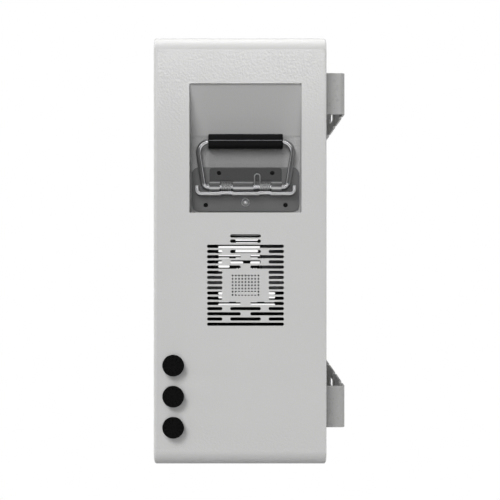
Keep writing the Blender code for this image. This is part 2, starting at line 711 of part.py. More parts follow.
class Handle:
    """One folding lift handle with its pocket, all placed about the pivot."""

    def __init__(self, name, side):
        """Name the handle and choose its side, 1 for right and -1 for left."""
        self.name = name
        self.side = side
        self.origin = (side * PIVOT_OUT, SIDE_AXIS, PIVOT_UP)

    def add(self, part, shape, finish):
        """Piece modelled out, along and up from the pivot, on this handle's side."""
        return add_object(f"{self.name}_{part}", mirrored(shape, self.side), finish, self.origin)

    def cut(self, piece, shapes):
        """Cut solids given about the pivot, on this handle's side."""
        cut(piece, mirrored(merged(shapes), self.side))

    def screw_places(self):
        """Face, place along and place up of each screw: two in the strap, two in the plate."""
        places = []
        for face, (along, up) in ((STRAP_FACE, STRAP_SCREW), (PLATE_FACE, PLATE_SCREW)):
            places += [(face, along, up), (face, -along, up)]
        return places

    def screw_shapes(self, profile):
        """Solids of all screws, or of their holes, through to behind the pocket."""
        shapes = []
        for face, along, up in self.screw_places():
            length = face - POCKET_REAR_FACE + HANDLE_SCREW_TAIL
            points = profile(face, -1.0, HANDLE_HEAD_RADIUS, HANDLE_SHANK_RADIUS, length)
            shapes.append(turned(points, "X", (along, up), SMALL_STEPS))
        return shapes

    def rivet_hole(self):
        """Clear hole of the rivet through plate and pocket."""
        low = POCKET_REAR_FACE - CUT_MARGIN
        return rod(RIVET_SHANK + GAP, low, PLATE_FACE + CUT_MARGIN, "X", (0.0, RIVET_UP))

    def build_pocket(self):
        """Pressed pocket: a flat rim behind the side wall, a sloped roof and a flat back."""
        half = POCKET_WIDTH / 2
        mouth = POCKET_MOUTH - PIVOT_OUT
        back = POCKET_BACK - PIVOT_OUT
        bottom = POCKET_BOTTOM - PIVOT_UP
        top = POCKET_TOP - PIVOT_UP
        foot = SLOPE_FOOT - PIVOT_UP
        rim = half + POCKET_RIM
        loops = [
            [(mouth, -rim, bottom - POCKET_RIM), (mouth, rim, bottom - POCKET_RIM),
             (mouth, rim, top + POCKET_RIM), (mouth, -rim, top + POCKET_RIM)],
            [(mouth, -half, bottom), (mouth, half, bottom), (mouth, half, top), (mouth, -half, top)],
            [(back, -half, bottom), (back, half, bottom), (back, half, foot), (back, -half, foot)],
        ]
        sheet = bmesh.new()
        rings = [[sheet.verts.new(point) for point in loop] for loop in loops]
        skin(sheet, rings, False)
        sheet.faces.new(rings[-1])
        pocket = self.add("handle_pocket", sheet, "powder_coat")
        wall = pocket.modifiers.new("wall", "SOLIDIFY")
        wall.thickness = POCKET_SHEET
        wall.offset = -1.0
        wall.use_even_offset = True
        wall.use_quality_normals = True
        self.cut(pocket, self.screw_shapes(sink_profile) + [self.rivet_hole()])

    def build_plate(self):
        """Base plate with the stop lip bent out of it under the hinge."""
        back = PLATE_FACE - PLATE_SHEET
        middle = (0.0, PLATE_HEIGHT / 2 - PIVOT_HEIGHT)
        outline = rounded_rectangle(
            2 * PLATE_HALF, PLATE_HEIGHT, PLATE_CORNER, BEND_STEPS, middle)
        plate = self.add("handle_plate", prism(outline, back, PLATE_FACE, "X"), "dark_plated_steel")
        root = PLATE_FACE - PLATE_SHEET / 2
        lip = prism(ribbon(self.lip_path(), LIP_THICKNESS), root, PLATE_FACE + LIP_REACH, "X")
        join(plate, mirrored(lip, self.side))
        self.cut(plate, self.screw_shapes(sink_profile) + [self.rivet_hole()])

    def lip_path(self):
        """Centre line of the stop lip along the plate: upturned ends, raised under the springs."""
        end = (LIP_HALF, LIP_LEVEL + LIP_UPTURN)
        bend = rounded_path([(-end[0], end[1]), (-LIP_HALF, LIP_LEVEL), (0.0, LIP_LEVEL)], LIP_BEND)
        jog = LIP_RAISED - LIP_LEVEL
        rise = [
            (-KNUCKLE_INNER, LIP_LEVEL),
            (-KNUCKLE_INNER + jog, LIP_RAISED),
            (-CENTRE_HALF - jog, LIP_RAISED),
            (-CENTRE_HALF, LIP_LEVEL),
        ]
        left = [(point[0], point[1]) for point in bend[:-1]] + rise
        return left + [(-along, up) for along, up in reversed(left)]

    def build_strap(self):
        """Strap rolled round the bail into three knuckles, notched for the springs."""
        flat = STRAP_FACE - STRAP_SHEET / 2
        roll = BARREL_BORE + STRAP_SHEET / 2
        path = [(flat, STRAP_HEIGHT), (flat, BARREL_RADIUS + STRAP_SHEET), (-roll, BARREL_BORE)]
        start = math.pi
        end = math.tau + math.radians(110)
        steps = 2 * BEND_STEPS + 2
        for step in range(steps + 1):
            angle = start + (end - start) * step / steps
            path.append((roll * math.cos(angle), roll * math.sin(angle)))
        strap = self.add(
            "hinge_strap", prism(ribbon(path, STRAP_SHEET), -STRAP_HALF, STRAP_HALF, "Y"),
            "dark_plated_steel")
        foot = -BARREL_RADIUS - CUT_MARGIN
        notches = [(-KNUCKLE_INNER, -CENTRE_HALF), (LOOP_NOTCH, KNUCKLE_INNER)]
        outline = [(-STRAP_HALF, foot)]
        for low, high in notches:
            outline += [(low, foot), (low, NOTCH_TOP), (high, NOTCH_TOP), (high, foot)]
        outline.append((STRAP_HALF, foot))
        crown = [(STRAP_HALF, 0.0), (STRAP_HALF, STRAP_HEIGHT), (-STRAP_HALF, STRAP_HEIGHT),
                 (-STRAP_HALF, 0.0)]
        outline += [(point[0], point[1]) for point in rounded_path(crown, STRAP_CORNER)[1:-1]]
        blank = prism(outline, PLATE_FACE - CUT_MARGIN, BARREL_RADIUS + CUT_MARGIN, "X")
        combine(strap, mirrored(blank, self.side), "INTERSECT")
        self.cut(strap, self.screw_shapes(sink_profile)[:2])

    def build_fasteners(self):
        """Countersunk screws and the dome rivet below the lip."""
        for index, shape in enumerate(self.screw_shapes(screw_profile)):
            self.add(f"handle_screw_{index + 1}", shape, "black_oxide_steel")
        seat = PLATE_FACE + GAP
        profile = [(POCKET_REAR_FACE, 0.0), (POCKET_REAR_FACE, RIVET_SHANK), (seat, RIVET_SHANK)]
        steps = BEND_STEPS - 1
        for step in range(steps):
            angle = math.pi / 2 * step / steps
            up = seat + RIVET_HEIGHT * math.sin(angle)
            profile.append((up, RIVET_RADIUS * math.cos(angle)))
        profile.append((seat + RIVET_HEIGHT, 0.0))
        self.add("stop_rivet", turned(profile, "X", (0.0, RIVET_UP), ROUND_STEPS), "bright_steel")

    def build_bail(self):
        """Wire bail with both ends in the barrel, and the grip on its top run."""
        foot = (0.0, -BAIL_FOOT_HALF, 0.0)
        top = (0.0, -BAIL_TOP_HALF, BAIL_HEIGHT)
        inner_end = (0.0, -BAIL_END_GAP / 2, 0.0)
        lower = rounded_path([inner_end, foot, top], BAIL_FOOT_BEND)[:-1]
        upper = rounded_path([foot, top, (0.0, 0.0, BAIL_HEIGHT)], BAIL_TOP_BEND)[1:-1]
        half = lower + upper
        wire = half + [Vector((out, -along, up)) for out, along, up in reversed(half)]
        tube(f"{self.name}_bail", wire, BAIL_WIRE / 2, 2, "bright_steel", self.origin)
        bore = BAIL_WIRE / 2 + GAP
        shoulder = GRIP_RADIUS - GRIP_EDGE
        profile = [
            (-GRIP_HALF, bore),
            (-GRIP_HALF, shoulder),
            (-GRIP_HALF + GRIP_EDGE, GRIP_RADIUS),
            (GRIP_HALF - GRIP_EDGE, GRIP_RADIUS),
            (GRIP_HALF, shoulder),
            (GRIP_HALF, bore),
        ]
        self.add("grip", turned(profile, "Y", (0.0, BAIL_HEIGHT)), "black_rubber")

    def coil(self, last):
        """Helix round the bail that ends behind it, moving up, at the given place along."""
        points = []
        count = SPRING_TURNS * SPRING_STEPS
        for step in range(count + 1):
            turn = step / SPRING_STEPS - SPRING_TURNS
            angle = math.tau * turn
            along = last - SPRING_PITCH * turn
            points.append((-COIL_RADIUS * math.cos(angle), along, COIL_RADIUS * math.sin(angle)))
        return points

    def build_springs(self):
        """Two return springs: a plain coil, and a coil that ends in a loop on the strap."""
        plain_last = (-KNUCKLE_INNER - CENTRE_HALF - COIL_LENGTH) / 2
        loop_middle = LOOP_LEG - LOOP_WIDTH / 2
        bend_up = LOOP_HEIGHT - LOOP_WIDTH / 2
        loop = []
        for step in range(SPRING_STEPS):
            angle = math.pi * step / (SPRING_STEPS - 1)
            along = loop_middle + LOOP_WIDTH / 2 * math.cos(angle)
            loop.append((LOOP_OUT, along, bend_up + LOOP_WIDTH / 2 * math.sin(angle)))
        loop.append((LOOP_OUT, LOOP_TIP, SPRING_WIRE))
        springs = {
            "front_spring": self.coil(plain_last),
            "rear_spring": self.coil(LOOP_LEG) + loop,
        }
        for part, points in springs.items():
            name = f"{self.name}_{part}"
            print(f"{name} least gap {least_gap(points, SPRING_WIRE) * 1000:.2f} mm")
            wire = [(self.side * out, along, up) for out, along, up in points]
            tube(name, wire, SPRING_WIRE / 2, 1, "bright_steel", self.origin)

    def build(self):
        """All pieces of this handle."""
        self.build_pocket()
        self.build_plate()
        self.build_strap()
        self.build_fasteners()
        self.build_bail()
        self.build_springs()


def build_gland(number, level):
    """Cable gland through the right wall: body, tapered cap nut, seal and locknut."""
    centre = (GLAND_ALONG, level)
    flange = SIDE + GAP
    shoulder = flange + GLAND_FLANGE
    seal_seat = SIDE + GLAND_LENGTH - GLAND_SEAL - 2 * GAP
    mouth = GLAND_RADIUS - GLAND_WALL
    body = [
        (SIDE_INNER - GLAND_TAIL, GLAND_BORE),
        (SIDE_INNER - GLAND_TAIL, GLAND_THREAD),
        (flange, GLAND_THREAD),
        (flange, GLAND_FLANGE_RADIUS),
        (shoulder, GLAND_FLANGE_RADIUS),
        (shoulder, GLAND_NECK),
        (seal_seat - GAP, GLAND_NECK),
        (seal_seat - GAP, GLAND_BORE),
    ]
    cap = [
        (shoulder + GAP, GLAND_NECK + GAP),
        (shoulder + GAP, GLAND_FLANGE_RADIUS),
        (SIDE + GLAND_LENGTH - GLAND_WALL / 2, GLAND_RADIUS),
        (SIDE + GLAND_LENGTH, GLAND_RADIUS - GLAND_WALL / 2),
        (SIDE + GLAND_LENGTH, mouth),
        (seal_seat, mouth),
        (seal_seat, GLAND_NECK + GAP),
    ]
    seal_back = seal_seat + GAP
    seal_face = seal_back + GLAND_SEAL
    seal = [
        (seal_back, 0.0),
        (seal_back, mouth - GAP),
        (seal_face, mouth - GAP),
        (seal_face, GLAND_DIMPLE),
        (seal_face - GLAND_SEAL / 2, GLAND_DIMPLE),
        (seal_face - GLAND_SEAL / 2, 0.0),
    ]
    add_object(f"gland_body_{number}", turned(body, "X", centre), "black_nylon")
    add_object(f"gland_cap_{number}", turned(cap, "X", centre), "black_nylon")
    add_object(f"gland_seal_{number}", turned(seal, "X", centre), "black_rubber")
    hexagon = []
    for corner in range(6):
        angle = math.tau * corner / 6
        along = centre[0] + GLAND_NUT_RADIUS * math.cos(angle)
        hexagon.append((along, level + GLAND_NUT_RADIUS * math.sin(angle)))
    nut_face = SIDE_INNER - GAP
    nut = prism(hexagon, nut_face - GLAND_NUT, nut_face, "X")
    nut = add_object(f"gland_locknut_{number}", nut, "black_nylon")
    low = nut_face - GLAND_NUT - CUT_MARGIN
    cut(nut, rod(GLAND_THREAD + GAP, low, SIDE_INNER + CUT_MARGIN, "X", centre, ROUND_STEPS))


def post(x, level, root):
    """Terminal post that stands forward from a root, with a stud to carry a bar."""
    profile = [
        (root, 0.0),
        (root, POST_RADIUS),
        (POST_FACE, POST_RADIUS),
        (POST_FACE, STUD_RADIUS),
        (STUD_TIP, STUD_RADIUS),
        (STUD_TIP, 0.0),
    ]
    return turned(profile, "Y", (x, level), SMALL_STEPS)


def build_module(name, side, bottom, level):
    """Battery module with two terminal posts on its front."""
    near, far = sorted((side * MODULE_INNER, side * MODULE_OUTER))
    low = (near, MODULE_FRONT, bottom)
    high = (far, MODULE_REAR, bottom + MODULE_HEIGHT)
    module = add_object(name, block(low, high, MODULE_CHAMFER), "module_case")
    root = MODULE_FRONT + CUT_MARGIN
    join(module, merged([post(side * x, level, root) for x in (POST_NEAR, POST_FAR)]))


def build_bar(name, start, end):
    """Flat bar over two studs, each given by its place across and up."""
    middle = ((start[0] + end[0]) / 2, (start[1] + end[1]) / 2)
    width = abs(start[0] - end[0]) + BAR_WIDTH
    height = abs(start[1] - end[1]) + BAR_WIDTH
    outline = rounded_rectangle(width, height, BAR_CORNER, 3, middle)
    bar = add_object(name, prism(outline, BAR_BACK - BAR_SHEET, BAR_BACK, "Y"), "plated_copper")
    low = BAR_BACK - BAR_SHEET - CUT_MARGIN
    holes = [rod(STUD_RADIUS + GAP, low, BAR_BACK + CUT_MARGIN, "Y", stud) for stud in (start, end)]
    cut(bar, merged(holes))


def build_cells():
    """Four modules on the floor and on a shelf, joined in series by flat bars."""
    upper_bottom = SHELF_TOP + GAP
    build_module("lower_left_module", -1, MODULE_BOTTOM, LOWER_POST)
    build_module("lower_right_module", 1, MODULE_BOTTOM, LOWER_POST)
    build_module("upper_right_module", 1, upper_bottom, UPPER_POST)
    build_module("upper_left_module", -1, upper_bottom, UPPER_POST)
    build_bar("negative_bar", (-POST_FAR, LOWER_POST), (-POST_FAR, TRAY_POST))
    build_bar("lower_link", (-POST_NEAR, LOWER_POST), (POST_NEAR, LOWER_POST))
    build_bar("riser_link", (POST_FAR, LOWER_POST), (POST_FAR, UPPER_POST))
    build_bar("upper_link", (POST_NEAR, UPPER_POST), (-POST_NEAR, UPPER_POST))
    build_bar("positive_bar", (-POST_FAR, UPPER_POST), (-POST_FAR, FUSE_STUD))
    edge = SIDE_INNER - GAP - SHELF_SHEET / 2
    level = SHELF_TOP - SHELF_SHEET / 2
    tip = SHELF_TOP + SHELF_UPTURN
    corners = [(-edge, tip), (-edge, level), (edge, level), (edge, tip)]
    outline = ribbon(rounded_path(corners, SHELF_BEND), SHELF_SHEET)
    shelf_front = MODULE_FRONT - POST_LENGTH / 2
    shelf = prism(outline, shelf_front, PANEL_INNER - GAP, "Y")
    add_object("module_shelf", shelf, "zinc_sheet")


def build_electrics():
    """Control tray on the rear panel with its cover, contactor and fuse, and the terminal block."""
    low = Vector((-TRAY_HALF, TRAY_FRONT, TRAY_BOTTOM))
    high = Vector((TRAY_HALF, TRAY_REAR, TRAY_TOP))
    wall = Vector((TRAY_SHEET, TRAY_SHEET, TRAY_SHEET))
    tray = add_object("bms_tray", block(low, high), "zinc_sheet")
    over = Vector((0.0, 0.0, TRAY_SHEET + CUT_MARGIN))
    cut(tray, block(low + wall, high - wall + over))
    join(tray, post(-POST_FAR, TRAY_POST, TRAY_FRONT + TRAY_SHEET / 2))
    lid_low = (-TRAY_HALF, TRAY_FRONT, TRAY_TOP + GAP)
    add_object("bms_cover", block(lid_low, (TRAY_HALF, TRAY_REAR, TRAY_COVER_TOP)), "zinc_sheet")
    relay_rear = PANEL_INNER - CONTACTOR_REAR_GAP
    relay_low = (TRAY_HALF - CONTACTOR_WIDTH, relay_rear - CONTACTOR_DEPTH, TRAY_COVER_TOP + GAP)
    relay_high = (TRAY_HALF, relay_rear, SHELF_BOTTOM - CONTACTOR_HEADROOM)
    add_object("contactor", block(relay_low, relay_high, BLOCK_CHAMFER), "relay_case")
    fuse_low = (-POST_FAR - FUSE_WIDTH / 2, TRAY_FRONT, FUSE_BOTTOM)
    fuse_high = (-POST_FAR + FUSE_WIDTH / 2, TRAY_FRONT + FUSE_DEPTH, FUSE_BOTTOM + FUSE_HEIGHT)
    fuse = add_object("main_fuse", block(fuse_low, fuse_high, BLOCK_CHAMFER), "relay_case")
    join(fuse, post(-POST_FAR, FUSE_STUD, TRAY_FRONT + CUT_MARGIN))
    wall_face = SIDE_INNER - GAP
    front = FLANGE_BACK + TERMINAL_FRONT_GAP
    bottom = gland_levels()[0] + GLAND_RADIUS + TERMINAL_LIFT
    terminal_low = (wall_face - TERMINAL_WIDTH, front, bottom)
    terminal_high = (wall_face, front + TERMINAL_DEPTH, bottom + TERMINAL_HEIGHT)
    terminal = block(terminal_low, terminal_high, BLOCK_CHAMFER)
    add_object("dc_terminal_block", terminal, "terminal_case")


def main():
    """Build the whole unit."""
    clear_scene()
    build_casing()
    build_cover()
    build_rear_panel()
    build_bracket("upper_wall_bracket", 1, BRACKET_DROP)
    build_bracket("lower_wall_bracket", -1, BRACKET_LIFT)
    for name, side in (("right", 1), ("left", -1)):
        Handle(name, side).build()
    for index, level in enumerate(gland_levels()):
        build_gland(index + 1, level)
    build_cells()
    build_electrics()


main()
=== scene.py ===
"""Looks of the wall battery unit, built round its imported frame.

Every shown surface is worked out here as a grid of points: outlines carried along an axis,
profiles turned about one, and round sections carried along a wire. Lengths are in metres,
in the frame's own axes: +X to the unit's right, +Y into the wall and +Z up.
"""

import json
import logging
import math
from collections.abc import Sequence
from dataclasses import dataclass, field
from enum import Enum

import bmesh
import bpy
import numpy as np
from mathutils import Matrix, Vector


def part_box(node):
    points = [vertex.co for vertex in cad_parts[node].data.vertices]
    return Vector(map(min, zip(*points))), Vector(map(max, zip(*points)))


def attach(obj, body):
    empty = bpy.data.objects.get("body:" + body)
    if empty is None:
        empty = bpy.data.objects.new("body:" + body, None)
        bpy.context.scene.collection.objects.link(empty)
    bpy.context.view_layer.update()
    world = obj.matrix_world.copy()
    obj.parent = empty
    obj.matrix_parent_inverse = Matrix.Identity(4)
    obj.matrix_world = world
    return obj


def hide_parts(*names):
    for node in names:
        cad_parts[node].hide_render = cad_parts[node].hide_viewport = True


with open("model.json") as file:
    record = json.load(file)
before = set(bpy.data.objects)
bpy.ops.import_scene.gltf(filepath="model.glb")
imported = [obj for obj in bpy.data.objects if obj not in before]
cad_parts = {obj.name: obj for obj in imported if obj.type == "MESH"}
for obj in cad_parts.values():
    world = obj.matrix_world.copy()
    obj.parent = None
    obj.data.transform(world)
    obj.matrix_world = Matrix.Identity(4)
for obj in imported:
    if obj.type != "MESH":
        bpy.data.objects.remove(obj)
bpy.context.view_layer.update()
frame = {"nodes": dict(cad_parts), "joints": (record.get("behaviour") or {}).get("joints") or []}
LOG = logging.getLogger("wall_battery_unit")

CASING = "casing"
SMOOTH_ANGLE = math.radians(32)  # edges that turn by more stay sharp
SOFTEN_ANGLE = math.radians(40)  # edges that turn by more are rounded
SOFTEN_STEPS = 3
EVEN_WEIGHT = 100  # lets the larger faces rule the shading
CUT_MARGIN = 0.003  # how far a cutter reaches past what it cuts
CLEAR = 0.0003  # clearance between touching pieces
SAME_PLACE = 1e-8
QUARTER = math.pi / 2
GLOSS_FINENESS = 8  # how many times finer the gloss drifts than the colour
GLOSS_SWING = 0.05  # change of roughness, either way
POCKET_RIM = 0.008  # width of a pocket's flat rim behind the shell
GLANDS = (1, 2, 3)
HANDLE_SCREWS = (1, 2, 3, 4)


class Axis(Enum):
    """Axis that a flat outline is carried along; the value orders (a, b, along) as x, y, z."""

    X = (2, 0, 1)
    Y = (0, 2, 1)
    Z = (0, 1, 2)

    def place(self, flat_a: np.ndarray, flat_b: np.ndarray, along: np.ndarray) -> np.ndarray:
        """Stack two flat coordinates and one along the axis as x, y, z points.

        Args:
            flat_a: First flat coordinate.
            flat_b: Second flat coordinate.
            along: Coordinate along the axis.

        Returns:
            Points, with x, y and z on the last array axis.
        """
        values = np.broadcast_arrays(flat_a, flat_b, along)
        return np.stack([values[order] for order in self.value], axis=-1)


class Side(Enum):
    """Side of the cabinet, with the sign of its X."""

    RIGHT = 1
    LEFT = -1

    @property
    def label(self) -> str:
        """Word that starts the names of this side's pieces."""
        return self.name.lower()


class Combine(Enum):
    """How two closed meshes are combined."""

    CUT = "DIFFERENCE"
    KEEP = "INTERSECT"


@dataclass
class Grid:
    """Grid of points, rows by columns, whose columns always close into rings.

    Attributes:
        points: Array of rows x columns x 3.
        wrap_rows: Whether the last row joins the first, as on a ring.
        capped: Whether the first and last rows are closed by a flat face.
    """

    points: np.ndarray
    wrap_rows: bool = False
    capped: bool = True

    def faces(self, start: int) -> list[list[int]]:
        """Faces of the grid, numbered from a first vertex.

        Args:
            start: Number of the grid's first vertex.

        Returns:
            Quads between neighbouring rows, then the two caps if there are any.
        """
        rows, columns = self.points.shape[:2]
        row = np.arange(rows if self.wrap_rows else rows - 1)
        row, column = np.meshgrid(row, np.arange(columns), indexing="ij")
        below, after = (row + 1) % rows, (column + 1) % columns
        corners = [row * columns + column, row * columns + after,
                   below * columns + after, below * columns + column]
        quads = (np.stack(corners, axis=-1).reshape(-1, 4) + start).tolist()
        if self.capped and not self.wrap_rows:
            ring = np.arange(columns) + start
            quads += [ring[::-1].tolist(), (ring + (rows - 1) * columns).tolist()]
        return quads


def middle_of(node: str) -> np.ndarray:
    """Middle of a CAD node's box."""
    low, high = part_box(node)
    return (np.array(low) + np.array(high)) / 2


def half_of(node: str) -> np.ndarray:
    """Half the size of a CAD node's box along x, y and z."""
    low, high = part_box(node)
    return (np.array(high) - np.array(low)) / 2


def depths_of(node: str) -> list[float]:
    """Distances of a CAD node's box from the plane x = 0, the nearer end first."""
    low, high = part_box(node)
    return sorted((abs(low.x), abs(high.x)))


def arc(centre: Sequence[float], radius: float, start: float, end: float, steps: int) -> np.ndarray:
    """Points of a circular arc: centre + radius (cos t, sin t) for t from start to end.

    Args:
        centre: Centre of the arc.
        radius: Its radius.
        start: First angle, in radians.
        end: Last angle, in radians.
        steps: Number of steps between them.

    Returns:
        Array of steps + 1 flat points.
    """
    turn = np.linspace(start, end, steps + 1)
    return np.asarray(centre) + radius * np.stack([np.cos(turn), np.sin(turn)], axis=-1)


def circle(centre: Sequence[float], radius: float, steps: int) -> np.ndarray:
    """Closed outline of a whole turn of an arc, without its repeated last point."""
    return arc(centre, radius, 0.0, math.tau, steps)[:-1]


def distinct(outline: np.ndarray) -> np.ndarray:
    """Closed outline without points that repeat the one before.

    Args:
        outline: Flat points in order.

    Returns:
        The points that lie apart from their neighbour.
    """
    apart = np.linalg.norm(outline - np.roll(outline, 1, axis=0), axis=1)
    return outline[apart > SAME_PLACE]


def rounded_rectangle(width: float, height: float, radius: float, steps: int,
                      centre: Sequence[float] = (0.0, 0.0)) -> np.ndarray:
    """Rectangle with round corners: corner centre + radius (cos t, sin t), a quarter turn each.

    Args:
        width: Size along the first flat axis.
        height: Size along the second.
        radius: Corner radius.
        steps: Steps in each corner.
        centre: Middle of the rectangle.

    Returns:
        Closed outline as flat points.
    """
    turn = np.arange(4)[:, None] * QUARTER + np.linspace(0.0, QUARTER, steps + 1)
    sign_a = np.array([1, -1, -1, 1])[:, None]
    sign_b = np.array([1, 1, -1, -1])[:, None]
    flat_a = centre[0] + sign_a * (width / 2 - radius) + radius * np.cos(turn)
    flat_b = centre[1] + sign_b * (height / 2 - radius) + radius * np.sin(turn)
    return distinct(np.stack([flat_a, flat_b], axis=-1).reshape(-1, 2))


def rounded_path(corners: Sequence[Sequence[float]], radius: float, steps: int) -> np.ndarray:
    """Path through corners, each inner one turned into an arc tangent to both its runs.

    With unit runs b and f out of a corner that turns by w, the arc starts radius tan(w / 2)
    from the corner, its centre lies along b + f, and it is swept by spherical interpolation.

    Args:
        corners: Points of the path, flat or in space.
        radius: Bend radius, cut where a run is too short.
        steps: Steps in each bend.

    Returns:
        Points of the whole path.
    """
    points = np.asarray(corners, float)
    corner = points[1:-1]
    back, ahead = points[:-2] - corner, points[2:] - corner
    runs = np.stack([np.linalg.norm(back, axis=1), np.linalg.norm(ahead, axis=1)])
    back, ahead = back / runs[0][:, None], ahead / runs[1][:, None]
    turn = math.pi - np.arccos(np.clip(np.sum(back * ahead, axis=1), -1.0, 1.0))
    reach = np.minimum(radius * np.tan(turn / 2), runs.min(axis=0) / 2)[:, None]
    bend = reach / np.tan(turn / 2)[:, None]
    inward = (back + ahead) / np.linalg.norm(back + ahead, axis=1)[:, None]
    middle = corner + inward * bend / np.cos(turn / 2)[:, None]
    start, end = (corner + back * reach - middle), (corner + ahead * reach - middle)
    share = np.linspace(0.0, 1.0, steps + 1)[None, :, None]
    wide = turn[:, None, None]
    swept = np.sin((1 - share) * wide) * start[:, None] + np.sin(share * wide) * end[:, None]
    arcs = middle[:, None] + swept / np.sin(wide)
    return np.concatenate([points[:1], arcs.reshape(-1, points.shape[1]), points[-1:]])


def strip(path: np.ndarray, thickness: float) -> np.ndarray:
    """Outline of sheet of even thickness about a flat path, with mitred corners.

    Each path point moves by half the thickness along its mitre, the sum of the normals of
    the two runs that meet there, scaled so that its share along each normal is 1.

    Args:
        path: Flat points along the middle of the sheet.
        thickness: Thickness of the sheet.

    Returns:
        Closed outline, out along one face and back along the other.
    """
    runs = np.diff(path, axis=0)
    runs /= np.linalg.norm(runs, axis=1)[:, None]
    normals = np.stack([-runs[:, 1], runs[:, 0]], axis=1)
    mitres = np.concatenate([normals[:1], normals[:-1] + normals[1:], normals[-1:]])
    facing = np.concatenate([normals[:1], normals[1:], normals[-1:]])
    mitres /= np.sum(mitres * facing, axis=1)[:, None]
    return np.concatenate([path + mitres * thickness / 2, (path - mitres * thickness / 2)[::-1]])


def prism(outline: np.ndarray, low: float, high: float, axis: Axis) -> Grid:
    """Flat outline carried straight along an axis.

    Args:
        outline: Closed flat outline.
        low: First place along the axis.
        high: Last place along the axis.
        axis: Axis to carry it along.

    Returns:
        Closed grid of two rows.
    """
    along = np.array([low, high])[:, None]
    return Grid(axis.place(outline[None, :, 0], outline[None, :, 1], along))


def turned(profile: np.ndarray, axis: Axis, centre: Sequence[float], steps: int,
           ring: bool = False, waver: np.ndarray | float = 0.0) -> Grid:
    """Profile turned about an axis: centre + (radius + waver)(cos t, sin t), at its own along.

    Args:
        profile: Rows of (along, radius).
        axis: Axis of turning.
        centre: Flat place of the axis.
        steps: Steps round it.
        ring: Whether the profile closes on itself instead of on the axis.
        waver: Change of radius by row and step, for flutes and flats.

    Returns:
        Closed grid with one row for each profile point.
    """
    profile = np.asarray(profile, float)
    turn = np.linspace(0.0, math.tau, steps, endpoint=False)[None, :]
    radius = profile[:, 1:2] + waver
    flat_a = centre[0] + radius * np.cos(turn)
    flat_b = centre[1] + radius * np.sin(turn)
    return Grid(axis.place(flat_a, flat_b, profile[:, :1]), wrap_rows=ring, capped=not ring)


def tube(path: np.ndarray, reference: np.ndarray, radius: float, sides: int) -> Grid:
    """Round section carried along a path: path + radius (cos a N + sin a B).

    N is the reference direction made square to the path, and B is square to both.

    Args:
        path: Points along the wire.
        reference: Direction near N at each point, never along the path.
        radius: Radius of the wire.
        sides: Sides of its section.

    Returns:
        Closed grid with one ring for each path point.
    """
    along = np.gradient(path, axis=0)
    along /= np.linalg.norm(along, axis=1)[:, None]
    normal = reference - np.sum(reference * along, axis=1)[:, None] * along
    normal /= np.linalg.norm(normal, axis=1)[:, None]
    other = np.cross(along, normal)
    angle = np.linspace(0.0, math.tau, sides, endpoint=False)[None, :, None]
    ring = np.cos(angle) * normal[:, None] + np.sin(angle) * other[:, None]
    return Grid(path[:, None] + radius * ring)


def hexagon(turn: np.ndarray, inner: float) -> np.ndarray:
    """Radius of a hexagon by angle: its inner radius over the cosine to the nearest flat.

    Args:
        turn: Angles, in radians.
        inner: Distance from the middle to each flat.

    Returns:
        Radius at each angle.
    """
    third = math.pi / 3
    return inner / np.cos(np.mod(turn, third) - third / 2)


def mesh_of(name: str, *grids: Grid) -> bpy.types.Mesh:
    """Mesh of one or more closed grids, with its faces turned outwards.

    Args:
        name: Name of the mesh.
        *grids: Grids that it holds.

    Returns:
        The new mesh.
    """
    points = np.concatenate([grid.points.reshape(-1, 3) for grid in grids])
    starts = np.cumsum([0] + [grid.points[..., 0].size for grid in grids])
    faces = [face for grid, start in zip(grids, starts) for face in grid.faces(int(start))]
    mesh = bpy.data.meshes.new(name)
    mesh.from_pydata(points.tolist(), [], faces)
    shape = bmesh.new()
    shape.from_mesh(mesh)
    bmesh.ops.recalc_face_normals(shape, faces=shape.faces)
    shape.to_mesh(mesh)
    shape.free()
    return mesh


def linked(name: str, data: bpy.types.ID) -> bpy.types.Object:
    """New object in the scene that holds a mesh, a lamp or a camera.

    Args:
        name: Name of the object.
        data: Mesh, lamp or camera.

    Returns:
        The object.
    """
    item = bpy.data.objects.new(name, data)
    bpy.context.scene.collection.objects.link(item)
    return item


def combined(mesh: bpy.types.Mesh, tool: bpy.types.Mesh, how: Combine) -> bpy.types.Mesh:
    """Exact Boolean of two closed meshes.

    Args:
        mesh: Mesh to change.
        tool: Mesh to change it with.
        how: Whether to cut, or to keep what both share.

    Returns:
        The new mesh; both given ones are removed.
    """
    holders = [linked(each.name, each) for each in (mesh, tool)]
    change = holders[0].modifiers.new("combine", "BOOLEAN")
    change.operation = how.value
    change.solver = "EXACT"
    change.object = holders[1]
    bpy.context.view_layer.update()
    graph = bpy.context.evaluated_depsgraph_get()
    result = bpy.data.meshes.new_from_object(holders[0].evaluated_get(graph))
    for holder, used in zip(holders, (mesh, tool)):
        bpy.data.objects.remove(holder, do_unlink=True)
        bpy.data.meshes.remove(used)
    return result


